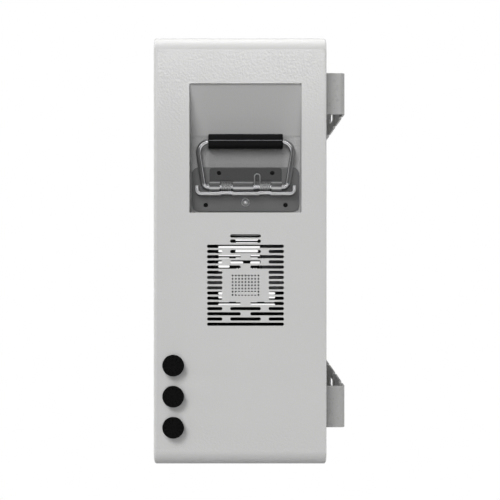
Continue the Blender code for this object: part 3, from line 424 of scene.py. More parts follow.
class NodeSheet:
    """Node tree of one material or world, with short calls to add nodes and join them."""

    def __init__(self, owner: bpy.types.ID) -> None:
        """Take the owner's tree and its Object coordinates."""
        self.tree = owner.node_tree
        self.place = self.add("ShaderNodeTexCoord").outputs["Object"]

    def put(self, socket: bpy.types.NodeSocket, value: object) -> None:
        """Link a socket to another one, or set it to a plain value.

        Args:
            socket: Input to feed.
            value: Other socket, or plain value.
        """
        if isinstance(value, bpy.types.NodeSocket):
            self.tree.links.new(value, socket)
        else:
            socket.default_value = value

    def give(self, name: str, value: object) -> None:
        """Give one of the principled shader's inputs another socket or a plain value."""
        self.put(self.tree.nodes["Principled BSDF"].inputs[name], value)

    def add(self, kind: str, inputs: dict | None = None, **settings: object) -> bpy.types.Node:
        """Add a node.

        Args:
            kind: Blender's name of the node type.
            inputs: Values or sockets for its inputs, by name or number.
            **settings: Values of the node's own properties.

        Returns:
            The new node.
        """
        node = self.tree.nodes.new(kind)
        for name, value in settings.items():
            setattr(node, name, value)
        for name, value in (inputs or {}).items():
            self.put(node.inputs[name], value)
        return node

    def noise(self, size: float, detail: float = 2.0,
              stretch: tuple[float, float, float] = (1.0, 1.0, 1.0)) -> bpy.types.NodeSocket:
        """Even noise on Object coordinates.

        Args:
            size: Size of one blotch.
            detail: Finer octaves.
            stretch: How much faster the noise runs along x, y and z.

        Returns:
            Socket of the noise, about 0 to 1.
        """
        place = self.add("ShaderNodeMapping", {"Vector": self.place, "Scale": stretch})
        wanted = {"Vector": place.outputs["Vector"], "Scale": 1.0 / size, "Detail": detail}
        return self.add("ShaderNodeTexNoise", wanted).outputs["Fac"]

    def cells(self, size: float) -> bpy.types.NodeSocket:
        """Cells of a given size on Object coordinates, each with a share of its own, 0 to 1."""
        cell = self.add("ShaderNodeTexVoronoi", {"Vector": self.place, "Scale": 1.0 / size})
        return self.add("ShaderNodeSeparateColor", {"Color": cell.outputs["Color"]}).outputs["Red"]

    def spread(self, value: bpy.types.NodeSocket, low: float, high: float,
               start: float = 0.3, end: float = 0.7) -> bpy.types.NodeSocket:
        """Stretch a value from one range to another, held at both ends.

        Args:
            value: Socket to stretch.
            low: Result at the start.
            high: Result at the end.
            start: Value that gives low.
            end: Value that gives high.

        Returns:
            Socket of the result.
        """
        wanted = {"Value": value, "From Min": start, "From Max": end, "To Min": low, "To Max": high}
        return self.add("ShaderNodeMapRange", wanted).outputs["Result"]

    def tint(self, value: bpy.types.NodeSocket, low: Sequence[float],
             high: Sequence[float]) -> bpy.types.NodeSocket:
        """Colour that runs from one to another as a value runs from 0 to 1.

        Args:
            value: Socket of the value.
            low: Colour at 0.
            high: Colour at 1.

        Returns:
            Socket of the colour.
        """
        ramp = self.add("ShaderNodeValToRGB", {"Fac": value})
        ramp.color_ramp.elements[0].color = (*low, 1.0)
        ramp.color_ramp.elements[1].color = (*high, 1.0)
        return ramp.outputs["Color"]

    def math(self, operation: str, first: object, second: object = 0.0) -> bpy.types.NodeSocket:
        """Result of one arithmetic node."""
        return self.add("ShaderNodeMath", {0: first, 1: second}, operation=operation).outputs[0]

    def axis(self, name: str) -> bpy.types.NodeSocket:
        """One of the Object coordinates: X, Y or Z."""
        return self.add("ShaderNodeSeparateXYZ", {"Vector": self.place}).outputs[name]

    def away(self, name: str, middle: float) -> bpy.types.NodeSocket:
        """Distance from a middle along one of the Object coordinates, either way."""
        return self.math("ABSOLUTE", self.math("SUBTRACT", self.axis(name), middle))

    def bump(self, height: bpy.types.NodeSocket, depth: float, strength: object = 1.0) -> None:
        """Give the shader a bump of a height field with the given depth."""
        wanted = {"Height": height, "Distance": depth, "Strength": strength}
        self.give("Normal", self.add("ShaderNodeBump", wanted).outputs["Normal"])


@dataclass(frozen=True)
class Finish:
    """One finish: its record slot, base colour, gloss and metal.

    Attributes:
        name: Name of the material.
        slot: Name of a record slot for pieces with this finish; not used.
        colour: Base colour, linear.
        roughness: Middle roughness.
        metallic: 1 for bare metal.
        mottle: Share by which the colour drifts over the surface.
        blotch: Size of that drift.
        shine: Specular level, 0.5 for plain paint.
    """

    name: str
    slot: str
    colour: tuple[float, float, float]
    roughness: float
    metallic: float = 0.0
    mottle: float = 0.03
    blotch: float = 0.06
    shine: float = 0.5

    def shade(self, share: float) -> tuple[float, ...]:
        """Base colour times a share."""
        return tuple(part * share for part in self.colour)

    def material(self) -> bpy.types.Material:
        """Material of this finish, made once and shared.

        Returns:
            The material.
        """
        found = bpy.data.materials.get(self.name)
        if found is None:
            found = bpy.data.materials.new(self.name)
            found.use_nodes = True
            sheet = NodeSheet(found)
            sheet.give("Roughness", self.roughness)
            sheet.give("Metallic", self.metallic)
            sheet.give("Specular IOR Level", self.shine)
            self.dress(sheet)
        return found

    def drift(self, sheet: NodeSheet) -> bpy.types.NodeSocket:
        """Colour that drifts a little over the surface."""
        cloud = sheet.spread(sheet.noise(self.blotch), 0.0, 1.0)
        return sheet.tint(cloud, self.shade(1.0 - self.mottle), self.shade(1.0 + self.mottle))

    def dress(self, sheet: NodeSheet) -> None:
        """Colour drift and a little variation of gloss.

        Args:
            sheet: Node sheet of the material.
        """
        sheet.give("Base Color", self.drift(sheet))
        low, high = self.roughness - GLOSS_SWING, self.roughness + GLOSS_SWING
        sheet.give("Roughness", sheet.spread(sheet.noise(self.blotch / GLOSS_FINENESS), low, high))


@dataclass(frozen=True)
class PowderCoat(Finish):
    """Textured powder paint with an orange-peel grain that fades on the rolled edges.

    Attributes:
        grain: Size of one grain cell.
        depth: Depth of the grain.
        smooth_from: Height from which the rolls start and the grain fades.
        smooth_to: Height at which the grain is gone.
        edge_from: Y of the front edge, where the grain is gone.
        edge_to: Y at which the grain is whole again.
        left: Share of the grain that stays where it is gone to the eye.
        rolled: Roughness that the rolls add.
        swing: Change of roughness over the surface, either way.
        finer: How many times finer the second grain is.
        fine_share: Height of the second grain, as a share of the first.
    """

    grain: float = 0.003
    depth: float = 0.00018
    smooth_from: float = 0.2618
    smooth_to: float = 0.2632
    edge_from: float = -0.251
    edge_to: float = -0.246
    left: float = 0.1
    rolled: float = 0.4
    swing: float = 0.01
    finer: float = 3.0
    fine_share: float = 0.15

    def flatness(self, sheet: NodeSheet) -> bpy.types.NodeSocket:
        """Share of the grain that stays: 1 on the flats, almost 0 on the rolls and the front edge.

        Args:
            sheet: Node sheet of the material.

        Returns:
            Socket of the share.
        """
        level = sheet.math("ABSOLUTE", sheet.axis("Z"))
        rolls = sheet.spread(level, 1.0, self.left, self.smooth_from, self.smooth_to)
        edge = sheet.spread(sheet.axis("Y"), self.left, 1.0, self.edge_from, self.edge_to)
        return sheet.math("MULTIPLY", rolls, edge)

    def dress(self, sheet: NodeSheet) -> None:
        """Drifting colour, soft grain bump, and gloss that dulls where the grain fades.

        Args:
            sheet: Node sheet of the material.
        """
        sheet.give("Base Color", self.drift(sheet))
        flat = self.flatness(sheet)
        dull = sheet.spread(flat, self.roughness + self.rolled, self.roughness, 0.0, 1.0)
        cloud = sheet.spread(sheet.noise(self.blotch / GLOSS_FINENESS), -self.swing, self.swing)
        sheet.give("Roughness", sheet.math("ADD", dull, cloud))
        peel = sheet.noise(self.grain, detail=1.0)
        fine = sheet.noise(self.grain / self.finer, detail=1.0)
        height = sheet.math("ADD", peel, sheet.math("MULTIPLY", fine, self.fine_share))
        sheet.bump(height, self.depth, flat)


@dataclass(frozen=True)
class ShellCoat(PowderCoat):
    """Powder paint of the wrapped shell, with near-black painted shade on its inner faces.

    Attributes:
        primer: Near-black colour painted on the inner faces as shade, so the vent slots read dark.
        inner: X of the inner faces, either side.
        middle: Y of the shell's middle.
        half: Half the depth over which the painted shade shows.
        reach: Height above and below the middle to which it shows.
        fade: Distance over which it ends.
    """

    primer: tuple[float, float, float] = (0.03, 0.03, 0.03)
    inner: float = 0.2231
    middle: float = -0.14
    half: float = 0.1
    reach: float = 0.255
    fade: float = 0.0003

    def drift(self, sheet: NodeSheet) -> bpy.types.NodeSocket:
        """Drifting paint, and near-black painted shade inside a box that holds only the sides' inner
        faces.

        Args:
            sheet: Node sheet of the material.

        Returns:
            Socket of the colour.
        """
        # Mask of the sides' inner faces, where the painted shade goes.
        bare = 1.0
        for name, middle, end in (("X", 0.0, self.inner), ("Y", self.middle, self.half),
                                  ("Z", 0.0, self.reach)):
            inside = sheet.spread(sheet.away(name, middle), 1.0, 0.0, end, end + self.fade)
            bare = sheet.math("MULTIPLY", bare, inside)
        cloud = sheet.spread(sheet.noise(self.blotch), 1.0 - self.mottle, 1.0)
        share = sheet.math("MULTIPLY", cloud, sheet.math("SUBTRACT", 1.0, bare))
        return sheet.tint(share, self.primer, self.colour)


@dataclass(frozen=True)
class PocketCoat(PowderCoat):
    """Powder paint of a handle pocket: smooth on its walls, grained on its back, with painted shade that
    darkens the back, most behind the handle.

    Attributes:
        deep: Colour of the back behind the handle, darkened as painted shade of the recess and of the
            handle's shadow.
        margin: Share of that painted shade beside the handle.
        middle: Y of the handle's middle.
        worn_half: Half the width of the part with the full painted shade.
        worn_fade: Width over which it ends.
        back: X of the back, either side.
        fade: Distance over which the walls' colour turns into the back's.
    """

    deep: tuple[float, float, float] = (0.22, 0.22, 0.22)
    margin: float = 0.47
    middle: float = -0.1325
    worn_half: float = 0.048
    worn_fade: float = 0.018
    back: float = 0.189
    fade: float = 0.0015

    def flatness(self, sheet: NodeSheet) -> bpy.types.NodeSocket:
        """Share of the grain that stays: 1 on the back and almost 0 on the walls."""
        out = sheet.math("ABSOLUTE", sheet.axis("X"))
        return sheet.spread(out, 1.0, self.left, self.back, self.back + self.fade)

    def drift(self, sheet: NodeSheet) -> bpy.types.NodeSocket:
        """Painted shade: colour that darkens from the walls' to the back's with depth, fully behind the
        handle and less towards the back's sides.

        Args:
            sheet: Node sheet of the material.

        Returns:
            Socket of the colour.
        """
        # Painted shade on the back, darkest behind the handle.
        along = sheet.away("Y", self.middle)
        painted_shade = sheet.spread(along, 1.0, self.margin, self.worn_half, self.worn_half + self.worn_fade)
        return sheet.tint(sheet.math("MULTIPLY", self.flatness(sheet), painted_shade), self.colour, self.deep)


@dataclass(frozen=True)
class Plated(Finish):
    """Plated or polished metal with faint lines along the side it was rolled.

    Attributes:
        line: Width of one polishing line.
        lines: How fast the lines run along x, y and z.
        depth: Depth of the lines.
        swing: Share by which the roughness changes from line to line, either way.
    """

    line: float = 0.0006
    lines: tuple[float, float, float] = (1.0, 0.04, 1.0)
    depth: float = 0.0000015
    swing: float = 0.1

    def dress(self, sheet: NodeSheet) -> None:
        """Drifting colour, streaked gloss and a hair-fine bump.

        Args:
            sheet: Node sheet of the material.
        """
        sheet.give("Base Color", self.drift(sheet))
        streak = sheet.noise(self.line, detail=3.0, stretch=self.lines)
        low, high = self.roughness * (1.0 - self.swing), self.roughness * (1.0 + self.swing)
        sheet.give("Roughness", sheet.spread(streak, low, high))
        sheet.bump(streak, self.depth)


@dataclass(frozen=True)
class RubbedRoll(Plated):
    """Dark plated sheet with painted highlights: bright metal on the lower half of its roll and a bright
    line along the top of it.

    Attributes:
        bright: Colour of the painted highlights.
        level: Z below which the sheet carries the painted highlight.
        crest: Z of the painted highlight line along the top of the roll.
        crest_half: Half the height of that line.
        fade: Height over which a painted highlight ends.
    """

    bright: tuple[float, float, float] = (0.45, 0.45, 0.455)
    level: float = 0.0
    crest: float = 0.0
    crest_half: float = 0.0009
    fade: float = 0.0003

    def drift(self, sheet: NodeSheet) -> bpy.types.NodeSocket:
        """Colour that turns from dark to a bright painted highlight below the level and along the top
        line, and the metal with it.

        Args:
            sheet: Node sheet of the material.

        Returns:
            Socket of the colour.
        """
        above = sheet.spread(sheet.axis("Z"), 0.0, 1.0, self.level, self.level + self.fade)
        away = sheet.away("Z", self.crest)
        off = sheet.spread(away, 0.0, 1.0, self.crest_half, self.crest_half + self.fade)
        dark = sheet.math("MULTIPLY", above, off)
        sheet.give("Metallic", sheet.spread(above, 1.0, self.metallic, 0.0, 1.0))
        return sheet.tint(dark, self.bright, self.colour)


@dataclass(frozen=True)
class Moulded(Finish):
    """Moulded plastic or rubber with a fine spark-eroded grain.

    Attributes:
        grain: Size of the grain.
        depth: Depth of the grain.
    """

    grain: float = 0.0005
    depth: float = 0.00003

    def dress(self, sheet: NodeSheet) -> None:
        """Drifting colour, uneven gloss and grain bump."""
        super().dress(sheet)
        sheet.bump(sheet.noise(self.grain), self.depth)


@dataclass(frozen=True)
class SeamedGrip(Moulded):
    """Moulded sleeve whose parting line carries a pale painted highlight along its crest.

    Attributes:
        crest: Distance from the sleeve's axis beyond which the line takes the painted highlight.
        axis_out: X of the sleeve's axis, either side.
        axis_up: Z of the sleeve's axis.
        pale: Colour of the painted highlight line.
        fade: Distance over which the colour turns.
    """

    crest: float = 0.0101
    axis_out: float = 0.0
    axis_up: float = 0.0
    pale: tuple[float, float, float] = (0.26, 0.26, 0.27)
    fade: float = 0.0001

    def drift(self, sheet: NodeSheet) -> bpy.types.NodeSocket:
        """Plain colour, with the pale painted highlight where the distance from the axis passes the
        crest.

        Args:
            sheet: Node sheet of the material.

        Returns:
            Socket of the colour.
        """
        out = sheet.math("SUBTRACT", sheet.math("ABSOLUTE", sheet.axis("X")), self.axis_out)
        up = sheet.math("SUBTRACT", sheet.axis("Z"), self.axis_up)
        square = sheet.math("ADD", sheet.math("MULTIPLY", out, out), sheet.math("MULTIPLY", up, up))
        reach = sheet.math("SQRT", square)
        highlight_share = sheet.spread(reach, 0.0, 1.0, self.crest, self.crest + self.fade)
        return sheet.tint(highlight_share, self.colour, self.pale)


@dataclass(frozen=True)
class Spangled(Finish):
    """Zinc-coated sheet with a pattern of flat crystals.

    Attributes:
        crystal: Size of one crystal.
        dull: Shade of the darkest crystals, as a share of the colour.
        bright: Shade of the lightest.
        swing: Change of roughness from crystal to crystal, either way.
    """

    crystal: float = 0.009
    dull: float = 0.85
    bright: float = 1.12
    swing: float = 0.1

    def dress(self, sheet: NodeSheet) -> None:
        """Each crystal has its own shade and gloss.

        Args:
            sheet: Node sheet of the material.
        """
        share = sheet.cells(self.crystal)
        sheet.give("Base Color", sheet.tint(share, self.shade(self.dull), self.shade(self.bright)))
        low, high = self.roughness - self.swing, self.roughness + self.swing
        sheet.give("Roughness", sheet.spread(share, low, high, 0.0, 1.0))


GREY_COAT = PowderCoat("grey_powder_coat", "powder_coat", (0.555, 0.555, 0.552), 0.15, mottle=0.012)
# The shell's inner faces carry near-black painted shade; see ShellCoat.
SHELL_COAT = ShellCoat("shell_powder_coat", "powder_coat", (0.555, 0.555, 0.552), 0.15, mottle=0.012)
# The pocket's back is darkened by painted shade; see PocketCoat.
POCKET_COAT = PocketCoat("pocket_powder_coat", "powder_coat", (0.5, 0.5, 0.498), 0.45, depth=0.0008)
# Same powder paint as the shell, coloured darker as painted shade for the brackets behind the cabinet.
BRACKET_COAT = PowderCoat(
    "bracket_powder_coat", "bracket_coat", (0.33, 0.33, 0.327), 0.28, mottle=0.015, depth=0.0002)
BRIGHT_STEEL = Plated("bright_plated_steel", "bright_steel", (0.5, 0.5, 0.51), 0.09, 1.0)
SPRING_STEEL = Plated("drawn_spring_wire", "bright_steel", (0.45, 0.45, 0.455), 0.35, 0.75)
SATIN_STEEL = Plated("satin_plated_steel", "bright_steel", (0.6, 0.6, 0.61), 0.3, 0.8)
DARK_PLATE = Plated(
    "dark_plated_sheet", "dark_plated_steel", (0.112, 0.112, 0.114), 0.35, 0.3, mottle=0.05)
OXIDE = Plated("black_oxide_screw", "black_oxide_steel", (0.006, 0.006, 0.006), 0.45, 0.0, shine=0.1)
NYLON = Moulded("black_nylon_gland", "black_nylon", (0.0042, 0.0042, 0.0045), 0.5, shine=0.06)
SEAL_RUBBER = Moulded("black_seal_rubber", "black_rubber", (0.0045, 0.0045, 0.0045), 0.7, shine=0.06)
INNER_FINISHES = {
    "module_case": Moulded("module_case_plastic", "module_case", (0.028, 0.028, 0.032), 0.5),
    "plated_copper": Plated("plated_bar", "plated_copper", (0.60, 0.58, 0.52), 0.3, 1.0),
    # Darker than bare zinc: painted shade, so the inside reads dark through the vents.
    "zinc_sheet": Spangled("zinc_coated_sheet", "zinc_sheet", (0.16, 0.16, 0.165), 0.45, 0.7),
    "relay_case": Moulded("relay_case_plastic", "relay_case", (0.05, 0.05, 0.055), 0.45),
    "terminal_case": Moulded("terminal_case_plastic", "terminal_case", (0.09, 0.09, 0.09), 0.5),
}
GREY_CARD = Finish("grey_card", "card", (0.3, 0.3, 0.3), 0.8, mottle=0.02, blotch=0.5)
PALE_FLOOR = Finish("pale_floor", "floor", (0.75, 0.75, 0.75), 0.7, mottle=0.01, blotch=0.4)


def add_piece(name: str, mesh: bpy.types.Mesh, finish: Finish, body: str,
              replaced: Sequence[str] = (), soften: float = 0.0) -> bpy.types.Object:
    """Put a finished mesh into the scene as a piece that rides on a body.

    Args:
        name: Name of the piece.
        mesh: Its mesh, already in place.
        finish: Its finish.
        body: Body that it rides on.
        replaced: CAD nodes that it stands for.
        soften: Width of the rounding on its sharp edges, if any.

    Returns:
        The new object.
    """
    mesh.name = name
    mesh.materials.clear()
    mesh.materials.append(finish.material())
    mesh.shade_smooth()
    piece = linked(name, mesh)
    if soften:
        edge = piece.modifiers.new("soft_edges", "BEVEL")
        edge.width = soften
        edge.segments = SOFTEN_STEPS
        edge.limit_method = "ANGLE"
        edge.angle_limit = SOFTEN_ANGLE
        even = piece.modifiers.new("even_shading", "WEIGHTED_NORMAL")
        even.weight = EVEN_WEIGHT
    else:
        mesh.set_sharp_from_angle(angle=SMOOTH_ANGLE)
    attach(piece, body)
    if replaced:
        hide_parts(*replaced)
    LOG.info("%s rides on %s for %s", name, body, ", ".join(replaced) or "no node")
    return piece


@dataclass
class SocketScrew:
    """Countersunk screw with a hexagon socket, its head flush with a face.

    Attributes:
        axis: Axis of the screw.
        sense: 1 if its shank points along the axis, otherwise -1.
        head: Radius of the head.
        shank: Radius of the shank.
        length: Length from the face to the tip.
        socket: Distance from the middle of the socket to its flats.
        edge: Rounding of the head's rim and of the socket's mouth.
        mouth: Radius of the socket's mouth, as a share of its distance to the flats.
        tip: Radius of the tip, as a share of the shank's.
        steps: Steps round it.
    """

    axis: Axis
    sense: float
    head: float
    shank: float
    length: float
    socket: float = 0.0013
    edge: float = 0.0002
    mouth: float = 1.3
    tip: float = 0.3
    steps: int = 36

    def shape(self, face: float, centre: Sequence[float]) -> Grid:
        """Solid of the screw, as rings from the socket's floor round the head to the tip.

        Args:
            face: Place of the head's face along the axis.
            centre: Flat place of the axis.

        Returns:
            Closed grid; the socket's rings follow a hexagon and the others a circle.
        """
        slope = self.head - self.shank
        depth = np.array([slope, self.edge, 0.0, 0.0, self.edge,
                          slope + self.edge, self.length, self.length])
        radius = np.array([0.0, 0.0, self.socket * self.mouth, self.head - self.edge, self.head,
                           self.shank, self.shank, self.shank * self.tip])
        turn = np.linspace(0.0, math.tau, self.steps, endpoint=False)
        waver = np.zeros((depth.size, self.steps))
        waver[:2] = hexagon(turn, self.socket)
        profile = np.stack([face + self.sense * depth, radius], axis=-1)
        return turned(profile, self.axis, centre, self.steps, waver=waver)

    def hole(self, face: float, centre: Sequence[float]) -> Grid:
        """Cutter of the countersunk hole: the screw's cone and shank, wider by the clearance.

        Args:
            face: Place of the head's face along the axis.
            centre: Flat place of the axis.

        Returns:
            Closed grid that reaches past both ends of the screw.
        """
        slope = self.head - self.shank
        depth = np.array([-CUT_MARGIN, 0.0, slope, self.length + CUT_MARGIN])
        radius = np.array([self.head, self.head, self.shank, self.shank]) + CLEAR
        profile = np.stack([face + self.sense * depth, radius], axis=-1)
        return turned(profile, self.axis, centre, self.steps)


@dataclass
class Vent:
    """Slotted vent with a plain block of round holes in its bare middle.

    Attributes:
        first: Height of the top row.
        middle: Place of the vent along the side.
        rows: One letter for each row of slots, from the top.
        pitch: Distance between rows.
        slot: Height of a slot.
        width: Width of the vent.
        centre_slot: Length of a middle slot.
        bridge: Width of the metal beside a middle slot.
        spine: Width of the metal between two long slots.
        hole: Radius of a round hole.
        hole_pitch: Distance between round holes.
        hole_counts: Round holes across and down.
        hole_steps: Steps round a hole.
        steps: Steps in each quarter of a slot's end.
    """

    first: float
    middle: float
    rows: str = "CCFSLSLEEEEEELSLSF"
    pitch: float = 0.00675
    slot: float = 0.0042
    width: float = 0.100
    centre_slot: float = 0.040
    bridge: float = 0.010
    spine: float = 0.0125
    hole: float = 0.00125
    hole_pitch: float = 0.0042
    hole_counts: tuple[int, int] = (9, 7)
    hole_steps: int = 12
    steps: int = 7

    def spans(self) -> dict[str, list[tuple[float, float]]]:
        """Ends of the slots in each kind of row, about the vent's middle.

        Returns:
            Start and end of each slot, by the row's letter.
        """
        half, middle, spine = self.width / 2, self.centre_slot / 2, self.spine / 2
        inner = middle + self.bridge
        return {
            "C": [(-middle, middle)],
            "F": [(-half, half)],
            "S": [(-half, -inner), (-middle, middle), (inner, half)],
            "L": [(-half, -spine), (spine, half)],
            "E": [(-half, -inner), (inner, half)],
        }

    def cutters(self, reach: float) -> list[Grid]:
        """Cutters of all slots and holes through both sides.

        Args:
            reach: Distance from the middle plane to both ends of each cutter.

        Returns:
            One prism for each slot and hole.
        """
        spans, found = self.spans(), []
        for index, kind in enumerate(self.rows):
            level = self.first - index * self.pitch
            for low, high in spans[kind]:
                centre = (self.middle + (low + high) / 2, level)
                outline = rounded_rectangle(high - low, self.slot, self.slot / 2, self.steps, centre)
                found.append(prism(outline, -reach, reach, Axis.X))
        bare = [index for index, kind in enumerate(self.rows) if kind == "E"]
        level = self.first - self.pitch * (bare[0] + bare[-1]) / 2
        across, down = self.hole_counts
        for column in range(across):
            for row in range(down):
                centre = (self.middle + (column - (across - 1) / 2) * self.hole_pitch,
                          level + (row - (down - 1) / 2) * self.hole_pitch)
                found.append(prism(circle(centre, self.hole, self.hole_steps), -reach, reach, Axis.X))
        return found


@dataclass
class Cabinet:
    """Wrapped shell with its flat front cover, rear panel and cover screws.

    Attributes:
        sheet: Thickness of the shell.
        roll: Radius of the four long rolls.
        edge: Radius of the front and rear edges.
        flange: Depth of the folded flanges.
        lip: Width of the front lip round the cover.
        gap: Gap between the lip and the cover.
        screw_end: Distance of the cover screws from the top and bottom.
        roll_steps: Steps in each roll.
        edge_steps: Steps in each edge.
        soften: Rounding of cut edges.
        window_corner: Corner radius of the pocket windows.
        window_steps: Steps in each corner of them.
        pocket_rim: Width of the pockets' rim behind the windows.
        vent_drop: Distance from the windows down to the first vent slot.
        gland_hole: Radius of the gland holes.
        hole_steps: Steps round a gland hole.
        screw: Screw that holds the cover.
    """

    sheet: float = 0.002
    roll: float = 0.019
    edge: float = 0.003
    flange: float = 0.014
    lip: float = 0.0055
    gap: float = 0.001
    screw_end: float = 0.040
    roll_steps: int = 20
    edge_steps: int = 7
    soften: float = 0.00035
    window_corner: float = 0.0006
    window_steps: int = 2
    pocket_rim: float = POCKET_RIM
    vent_drop: float = 0.0303
    gland_hole: float = 0.0101
    hole_steps: int = 48
    screw: SocketScrew = field(
        default_factory=lambda: SocketScrew(Axis.Y, 1.0, 0.0038, 0.0018, 0.0073))

    def __post_init__(self) -> None:
        """Take the cabinet's planes from the shell's own box."""
        low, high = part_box("casing_wrap")
        self.side, self.top = high.x, high.z
        self.front, self.rear = low.y, high.y

    def outline(self, inset: np.ndarray) -> np.ndarray:
        """Rounded outline of the cabinet seen from the front, set in from the outer skin.

        A point is its corner's centre plus the roll radius, less the inset, along its normal.

        Args:
            inset: Inset of each row, shaped rows x 1.

        Returns:
            Array of rows x points x 2.
        """
        turn = np.arange(4)[:, None] * QUARTER + np.linspace(0.0, QUARTER, self.roll_steps + 1)
        turn = turn.ravel()
        corner = np.repeat([[1, 1], [-1, 1], [-1, -1], [1, -1]], self.roll_steps + 1, axis=0)
        middle = corner * (np.array([self.side, self.top]) - self.roll)
        normal = np.stack([np.cos(turn), np.sin(turn)], axis=-1)
        return middle[None] + (self.roll - inset)[..., None] * normal[None]

    def section(self) -> np.ndarray:
        """Section of the folded sheet as (inset, depth) points, outer skin first.

        Returns:
            Closed outline of the sheet.
        """
        seat = self.front + self.sheet + CLEAR
        front = arc((self.edge, self.front + self.edge), self.edge, -QUARTER, -math.pi, self.edge_steps)
        rear = arc((self.edge, self.rear - self.edge), self.edge, math.pi, QUARTER, self.edge_steps)
        inner, back = self.sheet + self.flange, self.rear - self.sheet
        folds = [(inner, self.rear), (inner, back), (self.sheet, back), (self.sheet, seat + self.sheet),
                 (inner, seat + self.sheet), (inner, seat), (self.lip, seat), (self.lip, self.front)]
        return np.concatenate([front, rear, folds])

    def screw_places(self) -> list[tuple[float, float]]:
        """Place of each cover screw, seen from the front.

        Returns:
            Flat places, across and up.
        """
        across = self.side - (self.lip + self.gap + self.sheet + self.flange) / 2
        up = self.top - self.screw_end
        return [(across, up), (-across, up), (-across, -up), (across, -up)]

    def screw_holes(self) -> list[Grid]:
        """Cutters of the cover screws' holes."""
        return [self.screw.hole(self.front, place) for place in self.screw_places()]

    def build_shell(self, vent: Vent) -> None:
        """Wrapped shell: the folded section carried round the rounded outline, then cut.

        Args:
            vent: Vent to cut through both sides.
        """
        section = self.section()
        flat = self.outline(section[:, :1])
        shell = Grid(Axis.Y.place(flat[..., 0], flat[..., 1], section[:, 1:]), wrap_rows=True)
        reach = self.side + CUT_MARGIN
        cutters = vent.cutters(reach) + self.screw_holes()
        low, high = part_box("right_handle_pocket")
        rim = self.pocket_rim
        window = rounded_rectangle(
            high.y - low.y - 2 * rim, high.z - low.z - 2 * rim, self.window_corner,
            self.window_steps, middle_of("right_handle_pocket")[1:])
        cutters.append(prism(window, -reach, reach, Axis.X))
        for number in GLANDS:
            centre = middle_of(f"gland_body_{number}")[1:]
            hole = circle(centre, self.gland_hole, self.hole_steps)
            cutters.append(prism(hole, self.side - self.sheet - CUT_MARGIN, reach, Axis.X))
        mesh = combined(mesh_of("shell", shell), mesh_of("cutters", *cutters), Combine.CUT)
        add_piece("casing_shell", mesh, SHELL_COAT, CASING, ["casing_wrap"], self.soften)

    def build_panels(self) -> None:
        """Flat cover in the front rebate and flat panel behind the rear edge."""
        flat = self.outline(np.array([[self.lip + self.gap]]))[0]
        cover = mesh_of("cover", prism(flat, self.front, self.front + self.sheet, Axis.Y))
        cover = combined(cover, mesh_of("holes", *self.screw_holes()), Combine.CUT)
        add_piece("front_cover_sheet", cover, GREY_COAT, CASING, ["front_cover"], self.soften)
        low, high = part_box("rear_panel")
        flat = self.outline(np.array([[self.side - high.x]]))[0]
        panel = mesh_of("panel", prism(flat, low.y, high.y, Axis.Y))
        add_piece("rear_panel_sheet", panel, GREY_COAT, CASING, ["rear_panel"], self.soften)

    def build_screws(self) -> None:
        """Four countersunk cover screws."""
        for index, place in enumerate(self.screw_places()):
            mesh = mesh_of("screw", self.screw.shape(self.front, place))
            node = f"cover_screw_{index + 1}"
            add_piece(f"{node}_socket_head", mesh, OXIDE, CASING, [node])

    def build(self) -> None:
        """Shell, panels and screws."""
        low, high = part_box("right_handle_pocket")
        first = low.z + self.pocket_rim - self.vent_drop
        self.build_shell(Vent(first, (low.y + high.y) / 2))
        self.build_panels()
        self.build_screws()


